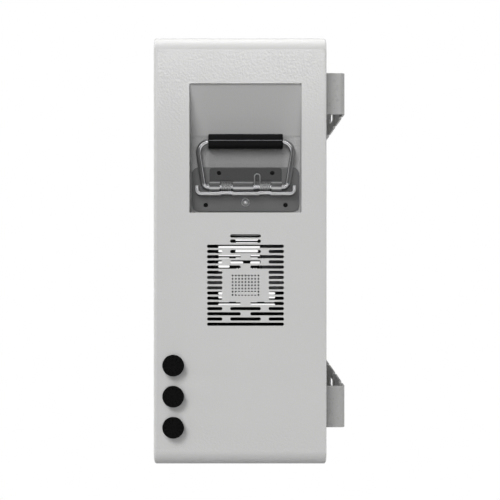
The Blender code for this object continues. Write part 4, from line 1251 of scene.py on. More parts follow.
@dataclass
class HandlePocket:
    """Pressed pocket with a flat rim, a sloped roof and a flat back.

    Attributes:
        side: Side of the cabinet.
        rim: Width of its flat rim.
        sheet: Thickness of the pocket.
        corner: Radius of its upright corners.
        least_corner: Least radius to which they shrink inside the back's fold.
        lip: Radius of the fold at its mouth.
        fold: Radius of the fold at its back.
        foot: Height of the fold between the roof and the back.
        steps: Steps in each fold and corner.
    """

    side: Side
    rim: float = POCKET_RIM
    sheet: float = 0.0015
    corner: float = 0.0016
    least_corner: float = 0.0004
    lip: float = 0.0004
    fold: float = 0.0016
    foot: float = 0.152
    steps: int = 6

    def build(self) -> None:
        """Sheet lofted from rim to back, then thickened behind.

        At every place round the pocket the sheet runs from the rim over a curved fold into the
        wall and over a second fold into the back. A fold is the quadratic curve between the two
        points at the fold's radius from the corner, with the corner as its control point.
        """
        node = f"{self.side.label}_handle_pocket"
        low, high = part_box(node)
        middle_y = (low.y + high.y) / 2
        inner, mouth_x = depths_of(node)
        back_x = inner + self.sheet
        bottom, top = low.z + self.rim, high.z - self.rim
        width = high.y - low.y - 2 * self.rim

        def loop(x: float, inset: float, crown: float) -> np.ndarray:
            """Ring of points round the pocket at one depth, set in from its walls.

            Args:
                x: Depth of the ring.
                inset: Distance from the walls.
                crown: Height of the top wall there.

            Returns:
                Points of the ring.
            """
            radius = max(self.corner - inset, self.least_corner)
            flat = rounded_rectangle(width - 2 * inset, crown - bottom - 2 * inset, radius,
                                     self.steps, (middle_y, (bottom + crown) / 2))
            return Axis.X.place(flat[:, 0], flat[:, 1], np.array(x))

        edge, mouth = loop(mouth_x, -self.rim, top), loop(mouth_x, 0.0, top)
        back = loop(back_x, 0.0, self.foot)
        middle = loop(back_x, self.fold, self.foot)
        wall = back - mouth
        wall /= np.linalg.norm(wall, axis=1)[:, None]
        lead = loop(mouth_x, -self.lip, top)
        share = np.linspace(0.0, 1.0, self.steps + 1)[:, None, None]

        def bend(first: np.ndarray, control: np.ndarray, last: np.ndarray) -> np.ndarray:
            """Quadratic curve from first to last, pulled to the control, for the whole ring."""
            return (1 - share) ** 2 * first + 2 * share * (1 - share) * control + share ** 2 * last

        rows = np.concatenate([
            edge[None],
            bend(lead, mouth, mouth + wall * self.lip),
            bend(back - wall * self.fold, back, middle),
        ])
        rows[..., 0] *= self.side.value
        sheet = Grid(rows, capped=False)
        mesh = bpy.data.meshes.new("pocket")
        cap = np.arange(rows.shape[1]) + (rows.shape[0] - 1) * rows.shape[1]
        mesh.from_pydata(rows.reshape(-1, 3).tolist(), [], sheet.faces(0) + [cap.tolist()])
        self.face_out(mesh)
        piece = add_piece(f"{node}_pressing", mesh, POCKET_COAT, CASING, [node])
        wall_of = piece.modifiers.new("wall", "SOLIDIFY")
        wall_of.thickness = self.sheet
        wall_of.offset = -1.0
        wall_of.use_even_offset = True

    def face_out(self, mesh: bpy.types.Mesh) -> None:
        """Turn all faces of the open sheet so that its back looks out of the pocket.

        Args:
            mesh: Mesh whose last face is the back.
        """
        back = mesh.polygons[-1]
        if back.normal.x * self.side.value < 0.0:
            mesh.flip_normals()


@dataclass
class LiftHandle:
    """Folding lift handle: plate, stop lip, rolled strap, bail, grip, springs and fasteners.

    Places are out from the pocket, along the side and up, all from the pivot.

    Attributes:
        side: Side of the cabinet.
        wire: Diameter of the bail.
        strap_sheet: Thickness of the strap.
        strap_half: Half the strap's length.
        strap_height: Top of the strap above the pivot.
        strap_corner: Radius of the strap's upper corners.
        crease: Bend radius and rise of the strap's crease over the barrel.
        crest_drop: Depth of the barrel's painted highlight line below its top.
        roll_end: Angle at which the rolled barrel ends, past its first half turn.
        knuckle: Length of each outer knuckle.
        spring_space: Length of each gap between knuckles.
        notch: Height of the notches above the barrel.
        plate_sheet: Thickness of the plate.
        plate_corner: Corner radius of the plate.
        lip_thick: Thickness of the stop lip.
        lip_half: Half its length.
        lip_gap: Clearance between the lip and the barrel.
        lip_rise: Height of its upturned ends.
        lip_bend: Bend radius of those ends.
        foot_half: Half the bail's width at the pivot.
        top_half: Half its width at the grip.
        foot_bend: Lower bend radius of the bail.
        top_bend: Upper bend radius of the bail.
        end_half: Half the gap between the bail's ends.
        wire_sides: Sides of the bail's section.
        grip_edge: Radius of the grip's shoulders.
        grip_steps: Steps round the grip.
        seam_at: Angle of the grip's parting line, from straight out.
        seam_half: Angle over which the line falls off, either way.
        seam_high: Height of the line.
        seam_pale: Share of that height above which the line takes the pale painted highlight.
        coil_wire: Diameter of the spring wire.
        coil_sides: Sides of the wire's section.
        coil_clear: Clearance between the coil and the bail.
        coil_pitch: Distance between turns.
        coil_turns: Number of turns.
        coil_steps: Steps in each turn.
        loop_height: Top of the spring's loop above the pivot.
        loop_width: Width of the loop.
        soften: Rounding of cut edges.
        lip_edge: Rounding of the stop lip's edges.
        rivet_bead: Radius of the rivet's round rim.
        rivet_shank: Radius of its shank.
        rivet_steps: Steps round it.
        dome_share: Share of a quarter turn that its dome covers.
        dome_inset: Distance of the dome from the rivet's edge, as a share of the bead's radius.
        steps: Steps in each bend.
        strap_screws: Places, in the list of screws, of those through the strap.
        plate_screws: Places of those through the plate alone.
        screw: Screw that holds strap and plate.
    """

    side: Side
    wire: float = 0.0072
    strap_sheet: float = 0.0022
    strap_half: float = 0.048
    strap_height: float = 0.0256
    strap_corner: float = 0.003
    crease: float = 0.0015
    crest_drop: float = 0.0003
    roll_end: float = math.radians(290)
    knuckle: float = 0.014
    spring_space: float = 0.017
    notch: float = 0.0027
    plate_sheet: float = 0.002
    plate_corner: float = 0.009
    lip_thick: float = 0.0042
    lip_half: float = 0.0643
    lip_gap: float = 0.0009
    lip_rise: float = 0.0108
    lip_bend: float = 0.0095
    foot_half: float = 0.0556
    top_half: float = 0.0649
    foot_bend: float = 0.007
    top_bend: float = 0.0148
    end_half: float = 0.004
    wire_sides: int = 28
    grip_edge: float = 0.0012
    grip_steps: int = 180
    seam_at: float = math.radians(3.0)
    seam_half: float = math.radians(1.9)
    seam_high: float = 0.00026
    seam_pale: float = 0.4
    coil_wire: float = 0.0017
    coil_sides: int = 10
    coil_clear: float = 0.00035
    coil_pitch: float = 0.00222
    coil_turns: int = 6
    coil_steps: int = 24
    loop_height: float = 0.0176
    loop_width: float = 0.0073
    soften: float = 0.0003
    lip_edge: float = 0.0014
    rivet_bead: float = 0.0011
    rivet_shank: float = 0.002
    rivet_steps: int = 40
    dome_share: float = 0.97
    dome_inset: float = 1.5
    steps: int = 12
    strap_screws: tuple[int, int] = (0, 1)
    plate_screws: tuple[int, int] = (2, 3)
    screw: SocketScrew = field(
        default_factory=lambda: SocketScrew(Axis.X, -1.0, 0.0029, 0.0015, 0.0068, 0.0012))

    def __post_init__(self) -> None:
        """Take the pivot from the joint, and the plate's planes from its box."""
        name, plate = f"{self.side.label}_handle_swing", f"{self.side.label}_handle_plate"
        joint = next(each for each in frame["joints"] if each["name"] == name)
        self.pivot = np.array(joint["pos_m"]) * (self.side.value, 1.0, 1.0)
        low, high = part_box(plate)
        self.plate_low, self.plate_high = low.z - self.pivot[2], high.z - self.pivot[2]
        self.plate_half = half_of(plate)[1]
        inner, outer = depths_of(plate)
        self.plate_face = inner + self.plate_sheet - self.pivot[0]
        self.lip_out = outer - self.pivot[0]
        self.strap_face = self.plate_face + CLEAR + self.strap_sheet
        self.bore = self.wire / 2 + CLEAR
        self.barrel = self.bore + self.strap_sheet
        self.knuckle_inner = self.strap_half - self.knuckle
        self.centre_half = self.knuckle_inner - self.spring_space
        self.coil_radius = self.wire / 2 + self.coil_clear + self.coil_wire / 2
        coil_outer = self.knuckle_inner - self.coil_wire / 2 - 2 * CLEAR
        self.loop_leg = coil_outer - self.coil_turns * self.coil_pitch
        self.lip_level = -(self.barrel + self.lip_gap + self.lip_thick / 2)
        self.lip_raised = -(self.coil_radius + self.coil_wire / 2 + CLEAR + self.lip_thick / 2)
        self.body = f"{self.side.label}_handle"

    def placed(self, grid: Grid) -> Grid:
        """Move a grid from the pivot to this side of the cabinet.

        Args:
            grid: Grid of (out, along, up) points.

        Returns:
            The same grid with its points in the frame.
        """
        points = (grid.points + self.pivot) * (self.side.value, 1.0, 1.0)
        return Grid(points, grid.wrap_rows, grid.capped)

    def add(self, part: str, mesh: bpy.types.Mesh, finish: Finish, body: str,
            nodes: Sequence[str] = (), soften: float = 0.0) -> bpy.types.Object:
        """Add a piece under this side's name, for nodes of this side.

        Args:
            part: Name of the piece, without the side.
            mesh: Its mesh, already in place.
            finish: Its finish.
            body: Body that it rides on.
            nodes: CAD nodes that it stands for, without the side.
            soften: Width of the rounding on its sharp edges, if any.

        Returns:
            The new object.
        """
        label = self.side.label
        replaced = [f"{label}_{node}" for node in nodes]
        return add_piece(f"{label}_{part}", mesh, finish, body, replaced, soften)

    def screw_places(self) -> list[tuple[str, float, float, float]]:
        """Node, face, place along and place up of each screw, from the nodes' own boxes.

        Returns:
            One row for each screw.
        """
        found = []
        for number in HANDLE_SCREWS:
            node = f"{self.side.label}_handle_screw_{number}"
            face = depths_of(node)[1] - self.pivot[0]
            along, up = middle_of(node)[1:] - self.pivot[1:]
            found.append((f"handle_screw_{number}", face, along, up))
        return found

    def screw_holes(self, numbers: Sequence[int]) -> list[Grid]:
        """Cutters of some of the screws' countersunk holes.

        Args:
            numbers: Places of those screws in the list.

        Returns:
            One cutter for each.
        """
        places = [self.screw_places()[number] for number in numbers]
        return [self.placed(self.screw.hole(face, (along, up))) for _, face, along, up in places]

    def lip_path(self) -> np.ndarray:
        """Centre line of the stop lip: upturned ends, raised by a sloped jog under each spring.

        Returns:
            Flat points, along and up.
        """
        end = [(-self.lip_half, self.lip_level + self.lip_rise), (-self.lip_half, self.lip_level),
               (0.0, self.lip_level)]
        jog = self.lip_raised - self.lip_level
        rise = [(-self.knuckle_inner, self.lip_level), (-self.knuckle_inner + jog, self.lip_raised),
                (-self.centre_half - jog, self.lip_raised), (-self.centre_half, self.lip_level)]
        left = np.concatenate([rounded_path(end, self.lip_bend, self.steps)[:-1], rise])
        return np.concatenate([left, left[::-1] * (-1.0, 1.0)])

    def build_plate(self) -> None:
        """Base plate with round corners, and the bright stop lip bent out under the hinge."""
        middle = (0.0, (self.plate_low + self.plate_high) / 2)
        outline = rounded_rectangle(
            2 * self.plate_half, self.plate_high - self.plate_low, self.plate_corner, self.steps, middle)
        plate = prism(outline, self.plate_face - self.plate_sheet, self.plate_face, Axis.X)
        mesh = mesh_of("plate", self.placed(plate))
        mesh = combined(mesh, mesh_of("holes", *self.screw_holes(self.plate_screws)), Combine.CUT)
        self.add("handle_base_plate", mesh, DARK_PLATE, CASING, ["handle_plate"], self.soften)
        lip = prism(strip(self.lip_path(), self.lip_thick), self.plate_face, self.lip_out, Axis.X)
        mesh = mesh_of("lip", self.placed(lip))
        self.add("handle_stop_lip", mesh, SATIN_STEEL, CASING, soften=self.lip_edge)

    def strap_path(self) -> np.ndarray:
        """Side view of the strap: down its flat, then rolled round the bail.

        Returns:
            Flat points along the middle of the sheet, out and up.
        """
        flat = self.strap_face - self.strap_sheet / 2
        roll = self.bore + self.strap_sheet / 2
        start = [(flat, self.strap_height), (flat, self.barrel + self.crease), (-roll, self.bore)]
        eased = rounded_path(start, self.crease, self.steps)
        barrel = arc((0.0, 0.0), roll, math.pi, math.pi + self.roll_end, 3 * self.steps)
        return np.concatenate([eased, barrel])

    def strap_blank(self) -> np.ndarray:
        """Front view of the strap: round upper corners, and a notch for each spring.

        Returns:
            Closed flat outline, along and up.
        """
        foot = -self.barrel - CUT_MARGIN
        loop_notch = self.loop_leg - self.loop_width - self.coil_wire / 2 - 2 * CLEAR
        level = self.barrel + self.notch
        outline = [(-self.strap_half, foot)]
        for low, high in ((-self.knuckle_inner, -self.centre_half), (loop_notch, self.knuckle_inner)):
            outline += [(low, foot), (low, level), (high, level), (high, foot)]
        outline.append((self.strap_half, foot))
        crown = [(self.strap_half, 0.0), (self.strap_half, self.strap_height),
                 (-self.strap_half, self.strap_height), (-self.strap_half, 0.0)]
        return np.concatenate([outline, rounded_path(crown, self.strap_corner, self.steps)[1:-1]])

    def build_strap(self) -> None:
        """Rolled strap: its side view carried along the barrel, kept inside its front view."""
        side_view = strip(self.strap_path(), self.strap_sheet)
        rolled = prism(side_view, -self.strap_half, self.strap_half, Axis.Y)
        out_low, out_high = self.plate_face - CUT_MARGIN, self.barrel + CUT_MARGIN
        blank = prism(self.strap_blank(), out_low, out_high, Axis.X)
        mesh = combined(mesh_of("rolled", self.placed(rolled)), mesh_of("blank", self.placed(blank)),
                        Combine.KEEP)
        mesh = combined(mesh, mesh_of("holes", *self.screw_holes(self.strap_screws)), Combine.CUT)
        # The strap's bright lower barrel and the line along its top are painted highlights.
        finish = RubbedRoll(
            "dark_strap_sheet", "dark_plated_steel", (0.085, 0.085, 0.087), 0.08, 0.3,
            level=float(self.pivot[2]), crest=float(self.pivot[2] + self.barrel - self.crest_drop))
        self.add("rolled_hinge_strap", mesh, finish, CASING, ["hinge_strap"], self.soften)

    def build_bail(self) -> None:
        """Wire bail: a round section carried over its flat path, the X axis as reference."""
        height = self.grip_height()
        left = [(0.0, -self.end_half, 0.0), (0.0, -self.foot_half, 0.0), (0.0, -self.top_half, height)]
        lower = rounded_path(left, self.foot_bend, self.steps)[:-1]
        right = [left[1], left[2], (0.0, 0.0, height)]
        half = np.concatenate([lower, rounded_path(right, self.top_bend, 2 * self.steps)[1:-1]])
        path = np.concatenate([half, half[::-1] * (1.0, -1.0, 1.0)])
        reference = np.broadcast_to((1.0, 0.0, 0.0), path.shape)
        wire = tube(path, reference, self.wire / 2, self.wire_sides)
        self.add("wire_bail", mesh_of("bail", self.placed(wire)), BRIGHT_STEEL, self.body, ["bail"])

    def grip_height(self) -> float:
        """Height of the grip's axis above the pivot."""
        return middle_of(f"{self.side.label}_grip")[2] - self.pivot[2]

    def build_grip(self) -> None:
        """Grip sleeve: a turned ring with round shoulders and a parting line along its front.

        The line lifts the radius by a smooth bump, height exp(-(t / width)^2), where t is the
        angle from the line, so it is part of the same turned surface.
        """
        _, half, radius = half_of(f"{self.side.label}_grip")
        edge, height = self.grip_edge, self.grip_height()
        shoulder = arc((half - edge, radius - edge), edge, 0.0, QUARTER, self.steps)
        front = shoulder * (-1.0, 1.0)
        profile = np.concatenate([[(-half, self.bore)], front, shoulder[::-1], [(half, self.bore)]])
        turn = np.linspace(0.0, math.tau, self.grip_steps, endpoint=False)
        away = np.mod(turn - self.seam_at + math.pi, math.tau) - math.pi
        outer = profile[:, 1:] > radius - edge / 2
        waver = outer * self.seam_high * np.exp(-(away / self.seam_half) ** 2)[None, :]
        sleeve = turned(profile, Axis.Y, (0.0, height), self.grip_steps, ring=True, waver=waver)
        # The pale line along the grip's parting line is a painted highlight.
        finish = SeamedGrip(
            "black_grip_sleeve", "black_rubber", (0.0065, 0.0065, 0.0072), 0.36, shine=0.06,
            crest=float(radius + self.seam_pale * self.seam_high), axis_out=float(self.pivot[0]),
            axis_up=float(self.pivot[2] + height))
        self.add("grip_sleeve", mesh_of("grip", self.placed(sleeve)), finish, self.body, ["grip"])

    def coil(self, last: float) -> tuple[np.ndarray, np.ndarray]:
        """Helix round the bail, r(-cos t, sin t) across it, that ends behind it going up.

        Args:
            last: Place along the bail where it ends.

        Returns:
            Points of the helix, and the direction out from the bail at each.
        """
        turn = np.linspace(-self.coil_turns, 0.0, self.coil_turns * self.coil_steps + 1)
        angle, still = math.tau * turn, np.zeros_like(turn)
        out = np.stack([-np.cos(angle), still, np.sin(angle)], axis=-1)
        along = np.stack([still, last - self.coil_pitch * turn, still], axis=-1)
        return self.coil_radius * out + along, out

    def build_springs(self) -> None:
        """Two torsion springs; the rear one ends in a round loop that stands over the strap."""
        length = self.coil_turns * self.coil_pitch
        plain, plain_out = self.coil((-self.knuckle_inner - self.centre_half - length) / 2)
        looped, looped_out = self.coil(self.loop_leg)
        bend = self.loop_width / 2
        crown = arc((self.loop_leg - bend, self.loop_height - bend), bend, 0.0, math.pi, 2 * self.steps)
        crown = Axis.X.place(crown[:, 0], crown[:, 1], np.array(-self.coil_radius))
        tip = [(-self.coil_radius, self.loop_leg - self.loop_width, self.coil_wire)]
        loop = np.concatenate([crown, tip])
        looped = np.concatenate([looped, loop])
        looped_out = np.concatenate([looped_out, np.broadcast_to((-1.0, 0.0, 0.0), loop.shape)])
        for part, path, out in (("front_spring", plain, plain_out), ("rear_spring", looped, looped_out)):
            wire = tube(path, out, self.coil_wire / 2, self.coil_sides)
            self.add(f"{part}_coil", mesh_of("spring", self.placed(wire)), SPRING_STEEL, CASING, [part])

    def build_fasteners(self) -> None:
        """Socket screws through strap and plate, and the dome rivet below the lip in its round rim.

        The dome is a quarter ellipse, turned about its axis: height times sin t, radius times cos t.
        """
        for node, face, along, up in self.screw_places():
            mesh = mesh_of("screw", self.placed(self.screw.shape(face, (along, up))))
            self.add(f"{node}_socket_head", mesh, OXIDE, CASING, [node])
        node = f"{self.side.label}_stop_rivet"
        radius, shank = half_of(node)[2], self.rivet_shank
        tail, tip = (end - self.pivot[0] for end in depths_of(node))
        seat = self.plate_face + CLEAR
        turn = np.linspace(0.0, self.dome_share * QUARTER, 2 * self.steps + 1)
        inner = radius - self.dome_inset * self.rivet_bead
        dome = np.stack([seat + (tip - seat) * np.sin(turn), inner * np.cos(turn)], axis=-1)
        profile = np.concatenate([[(tail, shank), (seat, shank)], dome])
        place = (0.0, middle_of(node)[2] - self.pivot[2])
        rivet = self.placed(turned(profile, Axis.X, place, self.rivet_steps))
        self.add("stop_rivet_dome", mesh_of("rivet", rivet), SATIN_STEEL, CASING, ["stop_rivet"])
        bead = arc((seat, radius - self.rivet_bead), self.rivet_bead, 0.0, math.pi, 2 * self.steps)
        rim = self.placed(turned(bead, Axis.X, place, self.rivet_steps, ring=True))
        self.add("stop_rivet_rim", mesh_of("rim", rim), SATIN_STEEL, CASING)

    def build(self) -> None:
        """All pieces of this handle."""
        self.build_plate()
        self.build_strap()
        self.build_bail()
        self.build_grip()
        self.build_springs()
        self.build_fasteners()


@dataclass
class CableGland:
    """Cable gland of body, fluted cap nut and slotted seal.

    Attributes:
        number: Number of the gland, 1 at the top.
        wall: Thickness of the cap's rim.
        neck: Radius of the body inside the cap.
        thread: Radius of the thread through the wall.
        bore: Radius of the body's bore.
        bevel: Bevel of the body's edges.
        flats: Distance to the flange's wrench flats, as a share of its radius.
        flutes: Number of grip flutes on the cap.
        flute: Depth of a flute.
        cap_edge: Radius of the cap's front edge.
        mouth_edge: Radius of the edge of its mouth.
        side_steps: Rows along the cap's side.
        edge_steps: Steps in its front edge, twice those in its mouth.
        fingers: Number of slots between the seal's fingers.
        finger: Depth of a slot.
        slot_from: Value of cos(n t) at which a slot starts.
        slot_fade: Rise of that value over which it gets its whole depth.
        slot_inner: Radius at which a slot starts, and the distance over which it deepens.
        slot_outer: Radius at which it ends, and the distance over which it gets shallow.
        dimple: Radius of the seal's middle dimple.
        bowl: Depth of the dimple.
        pole: Radius of the seal's innermost ring.
        rings: Rings of the seal's face.
        steps: Steps round.
    """

    number: int
    wall: float = 0.0018
    neck: float = 0.010
    thread: float = 0.0098
    bore: float = 0.0065
    bevel: float = 0.0005
    flats: float = 0.92
    flutes: int = 18
    flute: float = 0.0006
    cap_edge: float = 0.0006
    mouth_edge: float = 0.0004
    side_steps: int = 14
    edge_steps: int = 8
    fingers: int = 12
    finger: float = 0.0009
    slot_from: float = 0.62
    slot_fade: float = 0.2
    slot_inner: tuple[float, float] = (0.0048, 0.0006)
    slot_outer: tuple[float, float] = (0.0115, 0.0004)
    dimple: float = 0.003
    bowl: float = 0.0014
    pole: float = 0.0002
    rings: int = 30
    steps: int = 216

    def __post_init__(self) -> None:
        """Take the gland's axis and planes from its nodes' boxes."""
        self.turn = np.linspace(0.0, math.tau, self.steps, endpoint=False)
        cap, seal, body = (f"gland_{part}_{self.number}" for part in ("cap", "seal", "body"))
        self.centre = middle_of(cap)[1:]
        self.radius, self.seal_radius = half_of(cap)[1], half_of(seal)[1]
        self.flange_radius = half_of(body)[1]
        self.cap_back, self.cap_face = depths_of(cap)
        self.seal_back, self.seal_face = depths_of(seal)
        self.tail, self.body_end = depths_of(body)

    def add(self, part: str, detail: str, grid: Grid, finish: Finish) -> None:
        """Add one piece of the gland for its node."""
        node = f"gland_{part}_{self.number}"
        add_piece(f"{node}_{detail}", mesh_of(part, grid), finish, CASING, [node])

    def build_body(self) -> None:
        """Body: a turned ring whose flange is drawn in to six wrench flats."""
        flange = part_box("casing_wrap")[1].x + CLEAR
        shoulder = self.cap_back - CLEAR
        bevel, wide = self.bevel, self.flange_radius
        profile = np.array([
            (self.tail, self.bore), (self.tail, self.thread - bevel),
            (self.tail + bevel, self.thread), (flange, self.thread),
            (flange, wide - bevel), (flange + bevel, wide),
            (shoulder - bevel, wide), (shoulder, wide - bevel),
            (shoulder, self.neck), (self.body_end, self.neck), (self.body_end, self.bore)])
        flats = np.minimum(hexagon(self.turn, self.flats * wide), wide) - wide
        waver = (profile[:, 1:] > self.neck + bevel) * flats[None, :]
        body = turned(profile, Axis.X, self.centre, self.steps, ring=True, waver=waver)
        self.add("body", "moulding", body, NYLON)

    def build_cap(self) -> None:
        """Cap nut: a turned ring, tapered towards the wall, with flutes and a round front edge.

        A flute lowers the radius by depth (sin(pi s))^0.5 ((1 - cos(n t)) / 2)^2, where s is the
        share of the way along the side and t the angle.
        """
        edge, rim, bore = self.cap_edge, self.mouth_edge, self.neck + CLEAR
        outer = arc((self.cap_face - edge, self.radius - edge), edge, QUARTER, 0.0, self.edge_steps)
        mouth, seat = self.radius - self.wall, self.seal_back - CLEAR
        side = np.linspace(self.cap_back, self.cap_face - edge, self.side_steps)[1:-1]
        length = self.cap_face - edge - self.cap_back
        share = (side - self.cap_back) / length
        taper = self.flange_radius + (self.radius - self.flange_radius) * share
        side = np.stack([side, taper], axis=-1)
        inner = arc((self.cap_face - rim, mouth + rim), rim, 0.0, -QUARTER, self.edge_steps // 2)
        profile = np.concatenate([
            [(self.cap_back, bore), (self.cap_back, self.flange_radius)], side, outer,
            inner, [(seat, mouth), (seat, bore)]])
        share = np.clip((profile[:, :1] - self.cap_back) / length, 0.0, 1.0)
        shape = np.sin(math.pi * share) ** 0.5 * (profile[:, 1:] > taper[0])
        wave = 0.5 - 0.5 * np.cos(self.flutes * self.turn)
        waver = -self.flute * shape * wave[None, :] ** 2
        cap = turned(profile, Axis.X, self.centre, self.steps, ring=True, waver=waver)
        self.add("cap", "fluted_nut", cap, NYLON)

    def build_seal(self) -> None:
        """Seal: a disc with radial slots between its fingers and a dimple in the middle.

        The face drops by a slot depth where cos(n t) nears 1 between two radii, and by a
        smooth bowl inside the dimple.
        """
        rings = np.linspace(self.seal_radius, self.pole, self.rings)
        face = np.full_like(rings, self.seal_face)
        face -= self.bowl * np.clip(1.0 - rings / self.dimple, 0.0, 1.0) ** 0.5
        rim = [(self.seal_back, self.seal_radius)]
        profile = np.concatenate([rim, np.stack([face, rings], axis=-1)])
        disc = turned(profile, Axis.X, self.centre, self.steps)
        wave = np.cos(self.fingers * self.turn)
        between = np.clip((wave - self.slot_from) / self.slot_fade, 0.0, 1.0)
        (start, deepen), (end, shallow) = self.slot_inner, self.slot_outer
        inside = np.clip((rings - start) / deepen, 0.0, 1.0)
        inside *= np.clip((end - rings) / shallow, 0.0, 1.0)
        disc.points[1:, :, 0] -= self.finger * inside[:, None] * between[None, :]
        self.add("seal", "slotted_disc", disc, SEAL_RUBBER)

    def build(self) -> None:
        """Body, cap and seal; the locknut inside keeps its own shape."""
        self.build_body()
        self.build_cap()
        self.build_seal()


@dataclass
class WallBracket:
    """Folded wall bracket with swaged beads, a hook slot and bolt holes.

    Attributes:
        node: CAD node that it stands for.
        sense: 1 for the upper bracket and -1 for the lower.
        sheet: Thickness of the bracket.
        foot: Length of each foot.
        bend: Inner bend radius.
        bead_depth: Depth of a bead.
        bead_width: Width of a bead.
        bead_bend: Bend radius of a bead's flanks.
        beads: Distance of the beads from the middle.
        slot_width: Width of the hook slot.
        slot_height: Height of the hook slot.
        slot_lift: Distance of the slot from the inner edge.
        hole: Radius of a bolt hole.
        hole_reach: Distance of the bolt holes from the middle.
        hole_steps: Steps round a bolt hole.
        soften: Rounding of cut edges.
        steps: Steps in each bend.
    """

    node: str
    sense: int
    sheet: float = 0.0025
    foot: float = 0.015
    bend: float = 0.003
    bead_depth: float = 0.0022
    bead_width: float = 0.020
    bead_bend: float = 0.0016
    beads: tuple[float, float] = (0.152, 0.055)
    slot_width: float = 0.060
    slot_height: float = 0.0135
    slot_lift: float = 0.0145
    hole: float = 0.005
    hole_reach: float = 0.105
    hole_steps: int = 40
    soften: float = 0.0004
    steps: int = 8

    def path(self) -> np.ndarray:
        """Centre line seen from above; each bead has 45-degree flanks and a flat crest.

        Returns:
            Flat points along the middle of the sheet.
        """
        low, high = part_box(self.node)
        end, back = high.x - self.foot, high.y - self.sheet / 2
        foot = low.y + self.sheet / 2
        start = [(high.x, foot), (end, foot), (end, back), (end / 2, back)]
        half = [rounded_path(start, self.bend + self.sheet / 2, self.steps)[:-1]]
        crown, lift = self.bead_width / 2 - self.bead_depth, back - self.bead_depth
        for middle in self.beads:
            bead = [(middle + self.bead_width, back), (middle + self.bead_width / 2, back),
                    (middle + crown, lift), (middle - crown, lift),
                    (middle - self.bead_width / 2, back), (middle - self.bead_width, back)]
            half.append(rounded_path(bead, self.bead_bend, self.steps)[1:-1])
        half = np.concatenate(half)
        return np.concatenate([half, half[::-1] * (-1.0, 1.0)])

    def build(self) -> None:
        """Bracket: its path as sheet, carried upwards, then cut."""
        low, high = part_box(self.node)
        bracket = prism(strip(self.path(), self.sheet), low.z, high.z, Axis.Z)
        inner = low.z if self.sense > 0 else high.z
        level = inner + self.sense * (self.slot_lift + self.slot_height / 2)
        slot = rounded_rectangle(
            self.slot_width, self.slot_height, self.slot_height / 2, self.steps, (0.0, level))
        front, behind = high.y - self.sheet - CUT_MARGIN, high.y + CUT_MARGIN
        cutters = [prism(slot, front, behind, Axis.Y)]
        for across in (-self.hole_reach, self.hole_reach):
            outline = circle((across, (low.z + high.z) / 2), self.hole, self.hole_steps)
            cutters.append(prism(outline, front, behind, Axis.Y))
        mesh = combined(mesh_of("bracket", bracket), mesh_of("cutters", *cutters), Combine.CUT)
        add_piece(f"{self.node}_fold", mesh, BRACKET_COAT, CASING, [self.node], self.soften)


@dataclass
class Internals:
    """Cells and electrics, whose own shapes stay and get their finishes.

    Attributes:
        finishes: Finish slot of each node that stays.
    """

    finishes: dict[str, str] = field(default_factory=lambda: {
        "lower_left_module": "module_case", "lower_right_module": "module_case",
        "upper_right_module": "module_case", "upper_left_module": "module_case",
        "negative_bar": "plated_copper", "lower_link": "plated_copper", "riser_link": "plated_copper",
        "upper_link": "plated_copper", "positive_bar": "plated_copper", "module_shelf": "zinc_sheet",
        "bms_tray": "zinc_sheet", "bms_cover": "zinc_sheet", "contactor": "relay_case",
        "main_fuse": "relay_case", "dc_terminal_block": "terminal_case"})

    def build(self) -> None:
        """Dress every node that stays, the gland locknuts too."""
        dressed = {node: INNER_FINISHES[slot] for node, slot in self.finishes.items()}
        dressed |= {f"gland_locknut_{number}": NYLON for number in GLANDS}
        for node, finish in dressed.items():
            mesh = frame["nodes"][node].data
            mesh.materials.clear()
            mesh.materials.append(finish.material())
            LOG.info("%s keeps its shape, in %s", node, finish.name)


@dataclass
class Lamp:
    """Soft lamp that looks at a point.

    Attributes:
        name: Name of the lamp.
        place: Where it stands.
        target: Point that it looks at.
        size: Its width and height.
        power: Its power, in watts.
        mirrored: Whether it shows in reflections.
    """

    name: str
    place: tuple[float, float, float]
    target: tuple[float, float, float]
    size: tuple[float, float]
    power: float
    mirrored: bool = True

    def build(self) -> None:
        """Put the lamp into the scene, out of the camera's sight."""
        data = bpy.data.lights.new(self.name, "AREA")
        data.shape = "RECTANGLE"
        data.size, data.size_y = self.size
        data.energy = self.power
        lamp = linked(self.name, data)
        lamp.location = self.place
        aim = Vector(self.target) - Vector(self.place)
        lamp.rotation_euler = aim.to_track_quat("-Z", "Y").to_euler()
        lamp.visible_camera = False
        lamp.visible_glossy = self.mirrored


def add_board(name: str, board: Grid, finish: Finish) -> bpy.types.Object:
    """Put a board into the scene that isn't part of the unit.

    Args:
        name: Name of the board.
        board: Its closed grid.
        finish: Its finish.

    Returns:
        The new object.
    """
    mesh = mesh_of(name, board)
    mesh.materials.append(finish.material())
    item = linked(name, mesh)
    return item


@dataclass
class Card:
    """Grey card that only shows in reflections, upright and square to X.

    Attributes:
        name: Name of the card.
        place: Its middle.
        width: Its length along Y.
        height: Its length along Z.
        half: Half its thickness.
        corner: Radius of its corners.
        steps: Steps in each corner.
    """

    name: str
    place: tuple[float, float, float]
    width: float
    height: float
    half: float = 0.005
    corner: float = 0.1
    steps: int = 4

    def build(self) -> None:
        """Put the card into the scene as a thin board that casts no shadow."""
        flat = rounded_rectangle(self.width, self.height, self.corner, self.steps, self.place[1:])
        board = prism(flat, self.place[0] - self.half, self.place[0] + self.half, Axis.X)
        card = add_board(self.name, board, GREY_CARD)
        card.visible_camera = card.visible_diffuse = card.visible_shadow = False


